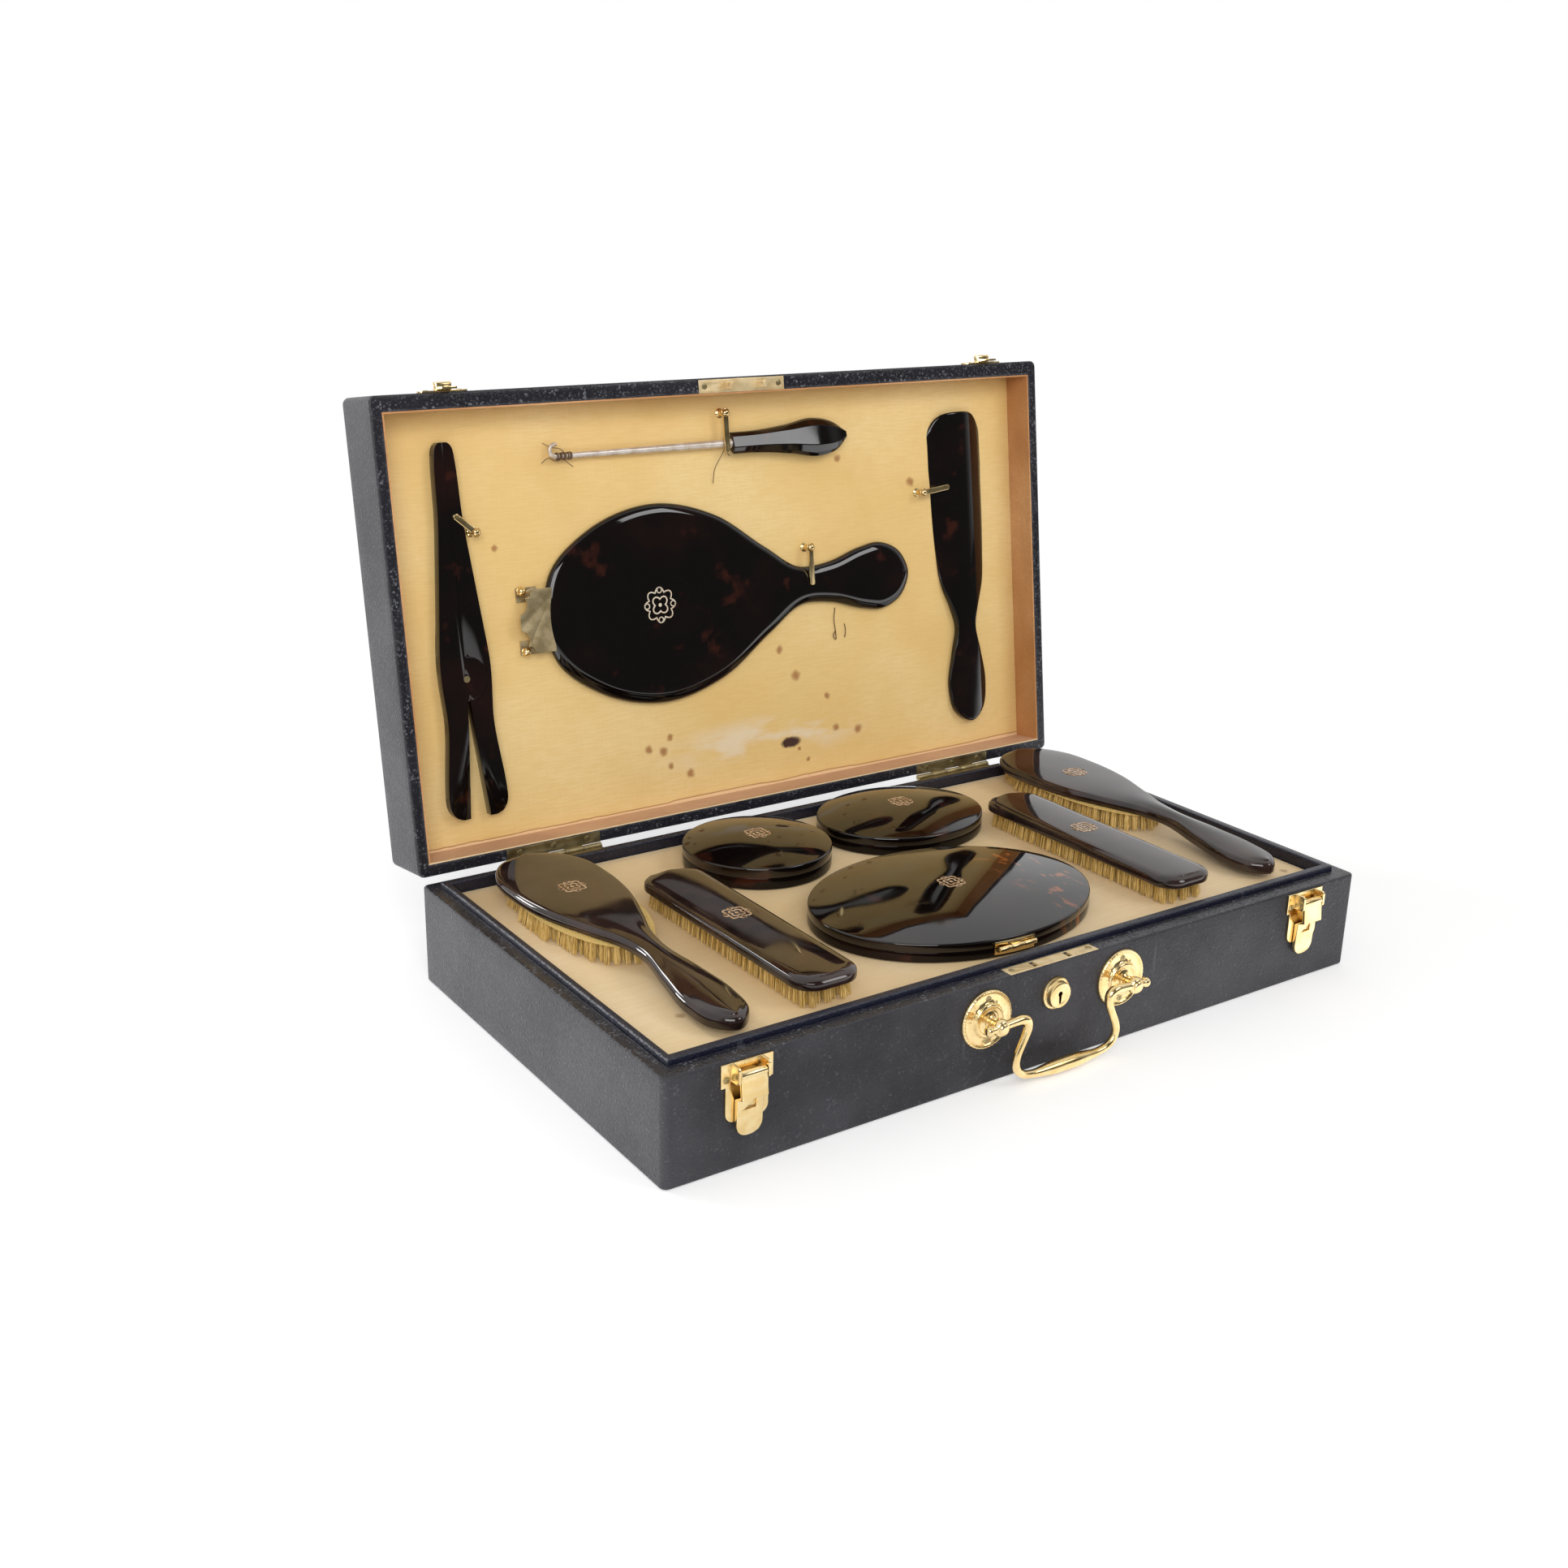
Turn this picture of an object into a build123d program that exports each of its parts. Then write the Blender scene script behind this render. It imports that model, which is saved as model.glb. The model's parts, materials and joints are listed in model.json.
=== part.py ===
from build123d import *
import math
import os

# Fitted dressing box, lid standing open.
# Frame: origin in the middle of the base's underside, X left to right, Y front to back, Z up, mm.

# Case
case_length = 480.0
case_depth = 271.0
base_height = 58.8
lid_height = 40.6
corner_radius = 4.0
foot_edge_radius = 1.4
leather = 1.2
panel = 5.0
side_rim = 8.4
rear_rim = 8.6
front_rim = 10.6

# Inner lip of the base, tray and bearers
lip_side = 4.2
lip_rear = 4.0
lip_front = 5.4
lip_rise = 3.0
lip_edge_radius = 1.2
tray_drop = 3.8
tray_thickness = 3.0
tray_clearance = 0.3
bearer_height = 12.0
bearer_width = 8.0

# Lid fit and lining
lip_clearance = 0.5
side_lining = 1.0
lining_setback = 0.4
lid_recess = 21.5
board_thickness = 3.0
batten_width = 14.0

# Hinges of the case
open_angle = 98.0
closed_gap = 1.0
hinge_setback = 2.0
hinge_rise = 0.5
hinge_length = 62.0
hinge_spacing = 307.0
hinge_knuckles = 5
knuckle_radius = 1.8
knuckle_gap = 0.3
hinge_pin_radius = 0.75
leaf_thickness = 1.2
leaf_width = 6.6
running_fit = 0.08
moving_gap = 0.3

# Lock: its middle line lies this far behind the front face
lock_line = 5.0
lock_plate_length = 62.0
lock_plate_width = 8.0
lock_plate_thickness = 1.4
lock_case_length = 50.0
lock_case_thickness = 6.6
lock_case_depth = 28.0
lock_wall = 0.9
staple_spacing = 24.0
staple_length = 2.0
staple_reach = 8.0
staple_hole_radius = 1.3
staple_clearance = 0.6
bolt_travel = 4.5
bolt_radius = 0.95
bolt_arm = 3.0
key_clearance = 5.0
keyhole_height = 41.5
keyhole_radius = 1.5
keyhole_slit = 1.4
escutcheon_radius = 9.2
escutcheon_depth = 5.0

# Handle
handle_spacing = 95.0
handle_height = 38.5
rosette_radius = 16.5
rosette_plate = 1.4
rosette_depth = 3.8
post_radius = 3.9
post_reach = 16.0
bail_offset = 12.0
bail_radius = 2.1
bail_end_reach = 7.2
bail_knob_radius = 2.8
bail_neck_inset = 20.5
bail_bulge = 5.5
bail_drop = 34.0
grip_radius = 3.7

# Latches
latch_spacing = 390.0
latch_top = 57.4
latch_width = 29.0
latch_step_height = 12.0
latch_body_width = 24.0
latch_height = 31.0
latch_plate_thickness = 1.2
lever_width = 14.6
lever_length = 34.0
latch_pin_radius = 1.0
latch_eye_radius = 2.1
latch_pin_drop = 5.0
latch_pin_offset = 5.8
cheek_thickness = 1.4
catch_plate_length = 27.0
catch_plate_height = 8.0
catch_plate_thickness = 1.0
catch_width = 9.0
catch_nose = 6.0
catch_reach = 5.6

# Screws
screw_head_radius = 1.7
screw_head_height = 0.6
screw_slot = 0.5
screw_shank_radius = 0.8
screw_length = 5.0

# Seats of the loose things
seat_gap = 0.2
tool_height = 6.2
arm_gap = 0.3

# Turn hooks
hook_post_radius = 1.6
hook_flange_radius = 3.0
hook_flange_height = 0.8
hook_knob_radius = 2.3
hook_arm_thickness = 1.5
hook_arm_width = 3.6
hook_eye_radius = 3.0

# Hand mirror: centre of its head on the lid board
mirror_x = -57.0
mirror_v = 136.3
mirror_edge_radius = 2.2
glass_length = 118.0
glass_width = 100.0
glass_thickness = 2.6
# half outline: distance along the handle's axis from the head's centre, half width
mirror_outline = [(-80.5, 0), (-74, 27), (-48, 49), (0, 61.8), (43, 51.5), (80, 27.5), (106, 12.4),
                  (128, 13.3), (155, 20.6), (170, 22.5), (187, 15), (194, 0)]
bracket_standoff = 13.5
bracket_height = 40.0
bracket_grip = 3.6
bracket_plate = 1.0
bracket_foot = 8.5
bracket_scoop_radius = 59.0
bracket_scoop_grip = 1.5
bracket_screw_radius = 1.2
bracket_screw_head = 2.9
bracket_screw_height = 4.2

# Glove stretchers: pivot on the lid board
stretcher_x = -192.4
stretcher_v = 108.0
stretcher_lean = 0.4
lap_radius = 13.0
stretcher_pin_radius = 2.0
half_gap = 0.2
# half outline from the tip of the jaw to the end of the leg: height above the pivot, outer half width
jaw_outline = [(135.5, 2.4), (133.6, 4.6), (128, 6.1), (98, 7.3), (60, 10.6), (32, 13.4), (12, 15.5), (-6, 15.4),
               (-24, 14.4), (-43, 15.9), (-68, 18.5), (-76, 17.9), (-81, 14.5)]
leg_end = -82.5
leg_inner = [(-13.3, 0.9), (-30, 1.9)]
leg_tip_outer = 11.0
leg_tip_inner = 6.5

# Button hook
button_hook_x = 0.0
button_hook_v = 230.8
button_handle_height = 10.0
button_facet = 2.4
button_outline = [(0, 7.0), (17, 7.2), (43, 9.6), (65, 12.6), (81, 8.5), (87.5, 3.0)]
shank_length = 122.0
shank_radius = 1.8
shank_height = 4.2
shank_socket = 12.0
hook_bend_radius = 3.6
ferrule_length = 1.6
ferrule_radius = 3.0

# Shoehorn: middle of its top edge on the lid board
shoehorn_x = 182.0
shoehorn_v = 239.5
shoehorn_lean = 1.1
shoehorn_shell = 2.2
shoehorn_arch_radius = 44.0
shoehorn_outline = [(0, 0), (2.5, 15), (11, 22), (50, 22.7), (95, 20.6), (117, 18), (132, 12),
                    (146, 8), (165, 12), (188, 16.3), (206, 12), (214, 0)]
shoehorn_handle_start = 112.0

# Hairbrushes: centre line and rear end of each
hairbrush_places = {"left": (-184.0, 118.5), "right": (195.0, 121.7)}
brush_back_height = 6.3
bristle_height = 10.8
hairbrush_end_drop = 6.0
hairbrush_handle_thickness = 7.6
hairbrush_level = 133.0
# half outline: distance from the rear end, half width
hairbrush_outline = [(0, 0), (5, 17), (20, 27), (50, 30.2), (80, 26.8), (110, 17.5), (132, 10), (150, 7.6),
                     (178, 11.5), (205, 14.2), (224, 10.5), (232, 0)]
hairbrush_field = (124.0, 50.0)
hairbrush_field_start = 6.0
hairbrush_pitch = (7.0, 5.9)
hairbrush_splay = 0.3

# Clothes brushes: middle of each
clothes_brush_places = {"left": (-126.0, -28.0), "right": (127.0, -28.0)}
clothes_brush_length = 166.0
clothes_brush_width = 39.0
clothes_brush_corner = 13.0
brush_edge_radius = 2.4
clothes_field = (148.0, 32.0)
clothes_pitch = (7.2, 7.4)
clothes_splay = 0.15

# Bristle tufts, four-sided
tuft_size = 1.7
tuft_slice = 0.8

# Boxes: middle, half length, half width, height at the edge, rise of the domed cover above it
small_box = {"middle": (-51.0, 73.5), "half_length": 45.0, "half_width": 45.0, "height": 13.3, "crown": 5.5}
medium_box = {"middle": (58.5, 75.0), "half_length": 56.0, "half_width": 46.0, "height": 11.5, "crown": 6.8}
large_box = {"middle": (2.0, -44.5), "half_length": 87.5, "half_width": 65.7, "height": 11.0, "crown": 6.2}
box_crown_inset = 1.8
box_wall = 2.4
box_floor = 1.6
box_skirt = 1.1
box_fit = 0.3
box_spigot = 2.4
box_lid_share = 0.45
box_edge_radius = 1.5
box_hinge_x = -7.0
box_hinge_length = 26.0
box_knuckle_radius = 1.5
box_pin_radius = 0.6
box_hinge_offset = 2.2
box_web_gap = 0.3
box_leaf = 0.8

# Worked out from the sizes above
rear_face = case_depth / 2
front_face = -case_depth / 2
tray_level = base_height - tray_drop
pivot_y = rear_face + hinge_setback
pivot_z = base_height + hinge_rise
board_level = -lid_recess
tool_level = board_level + seat_gap
item_level = tray_level + seat_gap
lid_turn = 180.0 - open_angle
bail_pivot_y = front_face - bail_offset
staple_width = lock_case_thickness - 2 * lock_wall - 2 * moving_gap
latch_places = {"left": -latch_spacing / 2, "right": latch_spacing / 2}
lever_pin_z = latch_top - latch_pin_drop
lever_pin_y = front_face - latch_pin_offset


def lid_place():
    """Place of the lid's own frame: X along the hinges, Y up the open lid, Z out of its mouth."""
    pivot = Pos(0, pivot_y, pivot_z)
    return pivot * Rot(lid_turn, 0, 0) * Pos(0, hinge_setback, hinge_rise - closed_gap)


def block(x0, x1, y0, y1, z0, z1):
    middle = Pos((x0 + x1) / 2, (y0 + y1) / 2, (z0 + z1) / 2)
    return middle * Box(x1 - x0, y1 - y0, z1 - z0)


def rounded_block(length, depth, y_middle, z0, z1, radius):
    outline = RectangleRounded(length, depth, radius)
    return Pos(0, y_middle, z0) * extrude(outline, z1 - z0)


def rod(start, end, radius):
    """Round bar between two points."""
    start = Vector(*start)
    axis = Vector(*end) - start
    plane = Plane(origin=start, z_dir=axis)
    return plane * extrude(Circle(radius), axis.length)


def mirrored_face(points):
    """Closed smooth outline from half of it: points are (along, half width), first and last on the axis."""
    near = [(a, b) for a, b in points]
    far = [(a, -b) for a, b in reversed(points[1:-1])]
    return make_face(Spline(*near, *far, periodic=True))


def main_solid(shape):
    return max(shape.solids(), key=lambda solid: solid.volume)


# Screws, heads flush: each kind is a list of places with the surface's outward normal as +Z

def screw_hole(place):
    """Sunk bed of the head and the hole of the shank below the surface."""
    head = Pos(0, 0, -screw_head_height / 2) * Cylinder(screw_head_radius, screw_head_height)
    shank = Pos(0, 0, -screw_length / 2) * Cylinder(screw_shank_radius, screw_length)
    return place * (head + shank)


def screw(place):
    slot = Box(2 * screw_head_radius, screw_slot, screw_slot)
    return screw_hole(place) - place * slot


def drill(part, places):
    for place in places:
        part = part - screw_hole(place)
    return part


def hinge_middles():
    return [-hinge_spacing / 2, hinge_spacing / 2]


def leaf_screw_xs():
    step = hinge_length * 0.36
    return [middle + offset for middle in hinge_middles() for offset in (-step, 0.0, step)]


def base_rim_screws():
    y = rear_face - leaf_width * 0.52
    hinges = [Pos(x, y, base_height) for x in leaf_screw_xs()]
    plate_y = front_face + lock_line
    reach = lock_plate_length / 2 - 4.0
    lock = [Pos(x, plate_y, base_height) for x in (-reach, reach)]
    return hinges + lock


def front_screws():
    """Screws that enter the front wall, heads towards the viewer."""
    turn = Rot(90, 0, 0)
    rosettes = []
    for x in (-handle_spacing / 2, handle_spacing / 2):
        for z in (-11.6, 11.6):
            rosettes.append(Pos(x, front_face - rosette_plate, handle_height + z) * turn)
    latches = []
    for x in latch_places.values():
        for side in (-1, 1):
            across = x + side * (latch_width / 2 - 3.0)
            place = Pos(across, front_face - latch_plate_thickness, latch_top - 8.0)
            latches.append(place * turn)
    return rosettes + latches


def lid_rim_screws():
    """In the lid's own frame."""
    hinges = [Pos(x, leaf_width * 0.52, 0) for x in leaf_screw_xs()]
    reach = lock_plate_length / 2 - 4.0
    lock = [Pos(x, case_depth - lock_line, 0) for x in (-reach, reach)]
    return hinges + lock


def catch_screws():
    turn = Rot(-90, 0, 0)
    places = []
    for x in latch_places.values():
        for side in (-1, 1):
            spot = Pos(x + side * (catch_plate_length / 2 - 3.5), case_depth + catch_plate_thickness, -5.0)
            places.append(spot * turn)
    return places


# Base

def base_opening(z0, z1):
    x = case_length / 2 - side_rim
    return block(-x, x, front_face + front_rim, rear_face - rear_rim, z0, z1)


def leaf_recess(z_top, y_rear, direction):
    """Beds of the two hinge leaves in a rim; direction is the way into the rim."""
    beds = []
    for middle in hinge_middles():
        x0 = middle - hinge_length / 2
        y0, y1 = sorted((y_rear, y_rear + direction * leaf_width))
        beds.append(block(x0, x0 + hinge_length, y0, y1, z_top - leaf_thickness, z_top))
    return beds


def lock_plate_bed(z_top, y_front_edge, direction):
    y_middle = y_front_edge + direction * lock_line
    half = lock_plate_width / 2
    x = lock_plate_length / 2
    return block(-x, x, y_middle - half, y_middle + half, z_top - lock_plate_thickness, z_top)


def lock_case_space():
    y_middle = front_face + lock_line
    half = lock_case_thickness / 2
    x = lock_case_length / 2
    return block(-x, x, y_middle - half, y_middle + half, base_height - lock_case_depth, base_height)


def escutcheon_hole():
    start = (0, front_face - 1.0, keyhole_height)
    end = (0, front_face + lock_line - lock_case_thickness / 2, keyhole_height)
    return rod(start, end, escutcheon_radius * 0.5)


def base_leather():
    skin = rounded_block(case_length, case_depth, 0, 0, base_height, corner_radius)
    skin = fillet(skin.edges().group_by(Axis.Z)[0], foot_edge_radius)
    inside = rounded_block(case_length - 2 * leather, case_depth - 2 * leather, 0, leather,
                           base_height - leather, corner_radius - leather)
    skin = skin - inside - base_opening(base_height / 2, base_height + 1)
    for bed in leaf_recess(base_height, rear_face, -1):
        skin = skin - bed
    skin = skin - lock_plate_bed(base_height, front_face, 1) - lock_case_space() - escutcheon_hole()
    return drill(skin, base_rim_screws() + front_screws())


def base_carcass():
    box = rounded_block(case_length - 2 * leather, case_depth - 2 * leather, 0, leather,
                        base_height - leather, corner_radius - leather)
    box = box - base_opening(leather + panel, base_height)
    for bed in leaf_recess(base_height, rear_face, -1):
        box = box - bed
    box = box - lock_plate_bed(base_height, front_face, 1) - lock_case_space() - escutcheon_hole()
    return drill(box, base_rim_screws() + front_screws())


def lip_bottom():
    return tray_level - tray_thickness - bearer_height


def base_lip():
    outer = base_opening(lip_bottom(), base_height + lip_rise)
    x = case_length / 2 - side_rim - lip_side
    y0 = front_face + front_rim + lip_front
    y1 = rear_face - rear_rim - lip_rear
    frame = outer - block(-x, x, y0, y1, lip_bottom() - 1, base_height + lip_rise + 1)
    top_edges = frame.edges().group_by(Axis.Z)[-1]
    return fillet(top_edges, lip_edge_radius)


def tray_bounds(clearance):
    x = case_length / 2 - side_rim - lip_side - clearance
    y0 = front_face + front_rim + lip_front + clearance
    y1 = rear_face - rear_rim - lip_rear - clearance
    return x, y0, y1


def base_tray():
    x, y0, y1 = tray_bounds(tray_clearance)
    return block(-x, x, y0, y1, tray_level - tray_thickness, tray_level)


def tray_bearers():
    x, y0, y1 = tray_bounds(0)
    top = tray_level - tray_thickness
    low = top - bearer_height
    strips = [block(-x, x, y0, y0 + bearer_width, low, top), block(-x, x, y1 - bearer_width, y1, low, top)]
    for side in (-1, 1):
        x0, x1 = sorted((side * x, side * (x - bearer_width)))
        strips.append(block(x0, x1, y0 + bearer_width, y1 - bearer_width, low, top))
    return Compound(children=strips)


# Lock

def staple_xs():
    return (-staple_spacing / 2, staple_spacing / 2)


def staple_slot(x, z0, z1):
    y_middle = front_face + lock_line
    half_x = staple_length / 2 + staple_clearance
    half_y = staple_width / 2 + staple_clearance
    return block(x - half_x, x + half_x, y_middle - half_y, y_middle + half_y, z0, z1)


def lock_case():
    """Slotted top plate and the thin-walled case that hangs from it."""
    plate = lock_plate_bed(base_height, front_face, 1)
    y_middle = front_face + lock_line
    inner = lock_case_thickness / 2 - lock_wall
    x = lock_case_length / 2 - lock_wall
    low = base_height - lock_case_depth + lock_wall
    hollow = block(-x, x, y_middle - inner, y_middle + inner, low, base_height - lock_plate_thickness)
    case = plate + lock_case_space() - hollow
    for slot_x in staple_xs():
        case = case - staple_slot(slot_x, base_height - 2 * lock_plate_thickness, base_height + 1)
    keyhole = rod((0, front_face, keyhole_height), (0, y_middle, keyhole_height), keyhole_radius + lock_wall)
    case = case - keyhole
    return drill(case, base_rim_screws())


def staple_tip():
    """Height of the closed lid's staples' lower ends."""
    return base_height + closed_gap - staple_reach


def bolt_level():
    return staple_tip() + staple_hole_radius + 1.2


def lock_bolt():
    """Plate with two fingers that slide through the staples of the closed lid."""
    y = front_face + lock_line
    level = bolt_level()
    half = lock_case_thickness / 2 - lock_wall - moving_gap
    low = base_height - lock_case_depth + lock_wall + moving_gap
    top = staple_tip() - 2.0
    finger = bolt_travel + moving_gap
    start = -staple_spacing / 2 - staple_length / 2 - moving_gap - finger - bolt_arm
    plate = block(start, staple_spacing / 2, y - half, y + half, low, top)
    plate = plate - rod((0, y - 9, keyhole_height), (0, y + 9, keyhole_height), key_clearance)
    for x in staple_xs():
        tip = x - staple_length / 2 - moving_gap
        arm = tip - finger
        plate = plate + block(arm - bolt_arm, arm, y - bolt_radius, y + bolt_radius, top - 1,
                              level + bolt_radius)
        plate = plate + rod((arm - bolt_arm / 2, y, level), (tip, y, level), bolt_radius)
    return plate


def lock_escutcheon():
    """Stepped boss with the keyhole, its tube reaching the lock."""
    y = front_face
    step = y - escutcheon_depth / 2
    tube_end = front_face + lock_line - lock_case_thickness / 2
    front = y - escutcheon_depth
    boss = rod((0, y, keyhole_height), (0, step, keyhole_height), escutcheon_radius)
    boss = boss + rod((0, step, keyhole_height), (0, front, keyhole_height), escutcheon_radius * 0.74)
    boss = boss + rod((0, tube_end, keyhole_height), (0, y, keyhole_height), escutcheon_radius * 0.5)
    hole_z = keyhole_height + keyhole_radius / 2
    hole = rod((0, tube_end, hole_z), (0, y - 2 * escutcheon_depth, hole_z), keyhole_radius)
    slit = block(-keyhole_slit / 2, keyhole_slit / 2, y - 2 * escutcheon_depth, tube_end,
                 keyhole_height - 3 * keyhole_radius, keyhole_height)
    return main_solid(boss - hole - slit)


def lid_lock_plate():
    """In the lid's own frame: plate let into the rim, with two pierced staples."""
    plate = lock_plate_bed(0, case_depth, -1)
    y = case_depth - lock_line
    hole_z = closed_gap + base_height - bolt_level()
    half = staple_width / 2
    for x in staple_xs():
        tongue = block(x - staple_length / 2, x + staple_length / 2, y - half, y + half,
                       -lock_plate_thickness / 2, staple_reach)
        eye = rod((x - 9, y, hole_z), (x + 9, y, hole_z), staple_hole_radius)
        plate = plate + (tongue - eye)
    return main_solid(drill(plate, lid_rim_screws()))


# Handle

def handle_xs():
    return (-handle_spacing / 2, handle_spacing / 2)


def rosette(x):
    """Turned plate: rim, dish and raised middle, standing on the front wall."""
    profile = Polyline((0, 0), (rosette_radius, 0), (rosette_radius, rosette_plate * 0.8),
                       (rosette_radius - 1.2, rosette_plate + 0.5), (rosette_radius - 2.6, rosette_plate),
                       (9.4, rosette_plate), (8.6, rosette_depth - 0.8), (7.4, rosette_depth),
                       (0, rosette_depth), (0, 0))
    turned = revolve(Plane.XZ * make_face(profile), Axis.Z)
    stands = Pos(x, front_face, handle_height) * Rot(90, 0, 0) * turned
    return stands


def handle_rosettes():
    both = [drill(rosette(x), front_screws()) for x in handle_xs()]
    return Compound(children=[main_solid(shape) for shape in both])


def handle_posts():
    posts = []
    for x in handle_xs():
        y0 = front_face - rosette_depth
        neck = rod((x, y0, handle_height), (x, bail_pivot_y + 2, handle_height), post_radius - 1.2)
        head = rod((x, front_face - bail_offset + 4.6, handle_height),
                   (x, front_face - post_reach, handle_height), post_radius)
        bore = rod((x - 9, bail_pivot_y, handle_height), (x + 9, bail_pivot_y, handle_height),
                   bail_radius + running_fit)
        posts.append(main_solid(neck + head - bore))
    return Compound(children=posts)


def bail_route():
    """Points of the bail, left to right, seen from the front: across, height."""
    end = handle_spacing / 2 + bail_end_reach
    neck = handle_spacing / 2 - bail_neck_inset
    low = handle_spacing / 2 - bail_bulge
    grip = low - 9.0
    left = [(-end, 0), (-neck, 0), (-low, -bail_drop * 0.68), (-grip, -bail_drop * 0.94)]
    right = [(-x, z) for x, z in reversed(left)]
    return left + right


def handle_bail():
    route = [(x, bail_pivot_y, handle_height + z) for x, z in bail_route()]
    path = FilletPolyline(*route, radius=4.6)
    section = Plane(origin=route[0], z_dir=(1, 0, 0)) * Circle(bail_radius)
    bail = sweep(section, path=path)
    half = handle_spacing / 2 - bail_bulge - 9.0
    level = handle_height - bail_drop * 0.94
    swell = ThreePointArc((-half, bail_radius * 0.9), (0, grip_radius), (half, bail_radius * 0.9))
    closing = Polyline((half, bail_radius * 0.9), (half, 0), (-half, 0), (-half, bail_radius * 0.9))
    grip = revolve(make_face([swell, closing]), Axis.X)
    bail = bail + Pos(0, bail_pivot_y, level) * grip
    for side in (-1, 1):
        x = side * (handle_spacing / 2 + bail_end_reach)
        bail = bail + Pos(x, bail_pivot_y, handle_height) * Sphere(bail_knob_radius)
    return bail


# Latches

def latch_plate(x):
    y0 = front_face - latch_plate_thickness
    half = latch_width / 2
    body_half = latch_body_width / 2
    wide = block(x - half, x + half, y0, front_face, latch_top - latch_step_height, latch_top)
    narrow = block(x - body_half, x + body_half, y0, front_face, latch_top - latch_height, latch_top)
    plate = wide + narrow
    low_edges = plate.edges().filter_by(Axis.Y).group_by(Axis.Z)[0]
    plate = fillet(low_edges, 5.0)
    gap = lever_width / 2 + moving_gap
    for side in (-1, 1):
        x0, x1 = sorted((x + side * gap, x + side * (gap + cheek_thickness)))
        cheek = block(x0, x1, lever_pin_y - latch_eye_radius, front_face, lever_pin_z - 4.0, latch_top)
        corner = cheek.edges().filter_by(Axis.X).sort_by(Axis.Y)[:2]
        plate = plate + fillet(corner, 1.6)
    pin = rod((x - latch_width, lever_pin_y, lever_pin_z), (x + latch_width, lever_pin_y, lever_pin_z),
              latch_pin_radius)
    return drill(plate - pin, front_screws())


def latch_lever(x):
    """Lifting lever: eye round the pin, raised upper part, step, and a rounded tongue for the finger."""
    z = lever_pin_z
    outer = lever_pin_y - latch_eye_radius
    step = z - 12.0
    low = z - lever_length
    inner_low = front_face - latch_plate_thickness - moving_gap
    profile = Polyline((outer + 0.5, z), (outer - 0.9, step), (inner_low - 3.0, step - 1.4),
                       (inner_low - 2.2, low + 2), (inner_low - 1.6, low), (inner_low - 0.6, low),
                       (inner_low, low + 4), (inner_low, step - 2), (outer + 1.2, step + 1.2),
                       (outer + 2.4, z), (outer + 0.5, z))
    side = Plane(origin=(x - lever_width / 2, 0, 0), z_dir=(1, 0, 0), x_dir=(0, 1, 0)) * make_face(profile)
    body = extrude(side, lever_width)
    front = block(x - lever_width / 2, x + lever_width / 2, outer - 9, front_face, low, z + 9)
    low_edges = front.edges().filter_by(Axis.Y).group_by(Axis.Z)[0]
    body = body & fillet(low_edges, lever_width / 2 - 0.4)
    eye = rod((x - lever_width / 2, lever_pin_y, z), (x + lever_width / 2, lever_pin_y, z), latch_eye_radius)
    body = body + eye
    bore = rod((x - lever_width, lever_pin_y, z), (x + lever_width, lever_pin_y, z),
               latch_pin_radius + running_fit)
    base = step - 7.4
    corner = Polyline((x - 3.6, base), (x + 3.4, base + 5), (x + 3.4, base), (x - 3.6, base))
    pocket = Pos(0, inner_low - 1.2, 0) * extrude(Plane.XZ * make_face(corner), 9)
    return main_solid(body - bore - pocket)


def latch_pins():
    pins = []
    reach = lever_width / 2 + moving_gap + cheek_thickness
    for x in latch_places.values():
        pin = rod((x - reach, lever_pin_y, lever_pin_z), (x + reach, lever_pin_y, lever_pin_z),
                  latch_pin_radius)
        pins.append(main_solid(pin))
    return Compound(children=pins)


def lid_catches():
    """In the lid's own frame: plates on the lid's front edge with a nose that enters the latch."""
    catches = []
    y = case_depth
    for x in latch_places.values():
        half = catch_plate_length / 2
        plate = block(x - half, x + half, y, y + catch_plate_thickness, -catch_plate_height - 1.0, -1.0)
        stud = block(x - catch_width / 2, x + catch_width / 2, y, y + catch_reach, -6.0, -1.5)
        outer_edges = stud.edges().filter_by(Axis.X).sort_by(Axis.Y)[-2:]
        stud = fillet(outer_edges, 1.4)
        nose = block(x - catch_width / 2, x + catch_width / 2, y + latch_plate_thickness + 0.3,
                     y + latch_plate_thickness + 1.5, -3.0, catch_nose)
        catches.append(main_solid(drill(plate + stud + nose, catch_screws())))
    return Compound(children=catches)


# Hinges of the case

def knuckle_spans(middle):
    """Spans of the knuckles along X, left to right."""
    pitch = hinge_length / hinge_knuckles
    start = middle - hinge_length / 2
    return [(start + i * pitch + knuckle_gap / 2, start + (i + 1) * pitch - knuckle_gap / 2)
            for i in range(hinge_knuckles)]


def hinge_leaf(middle, own, y_wall, y_pin, z_pin, z0, z1, direction):
    """Leaf plate with its own knuckles; direction is the way from the wall into the rim."""
    x0 = middle - hinge_length / 2
    y0, y1 = sorted((y_wall, y_wall + direction * leaf_width))
    leaf = block(x0, x0 + hinge_length, y0, y1, z0, z1)
    for number, (a, b) in enumerate(knuckle_spans(middle)):
        if number % 2 == own:
            ya, yb = sorted((y_wall, y_pin))
            leaf = leaf + block(a, b, ya, yb, z0, z1)
            leaf = leaf + rod((a, y_pin, z_pin), (b, y_pin, z_pin), knuckle_radius)
            bore = hinge_pin_radius + own * running_fit
            leaf = leaf - rod((a - 1, y_pin, z_pin), (b + 1, y_pin, z_pin), bore)
    return main_solid(leaf)


def base_hinge_leaves():
    z1 = base_height
    leaves = []
    for middle in hinge_middles():
        leaf = hinge_leaf(middle, 0, rear_face, pivot_y, pivot_z, z1 - leaf_thickness, z1, -1)
        leaves.append(main_solid(drill(leaf, base_rim_screws())))
    return Compound(children=leaves)


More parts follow.
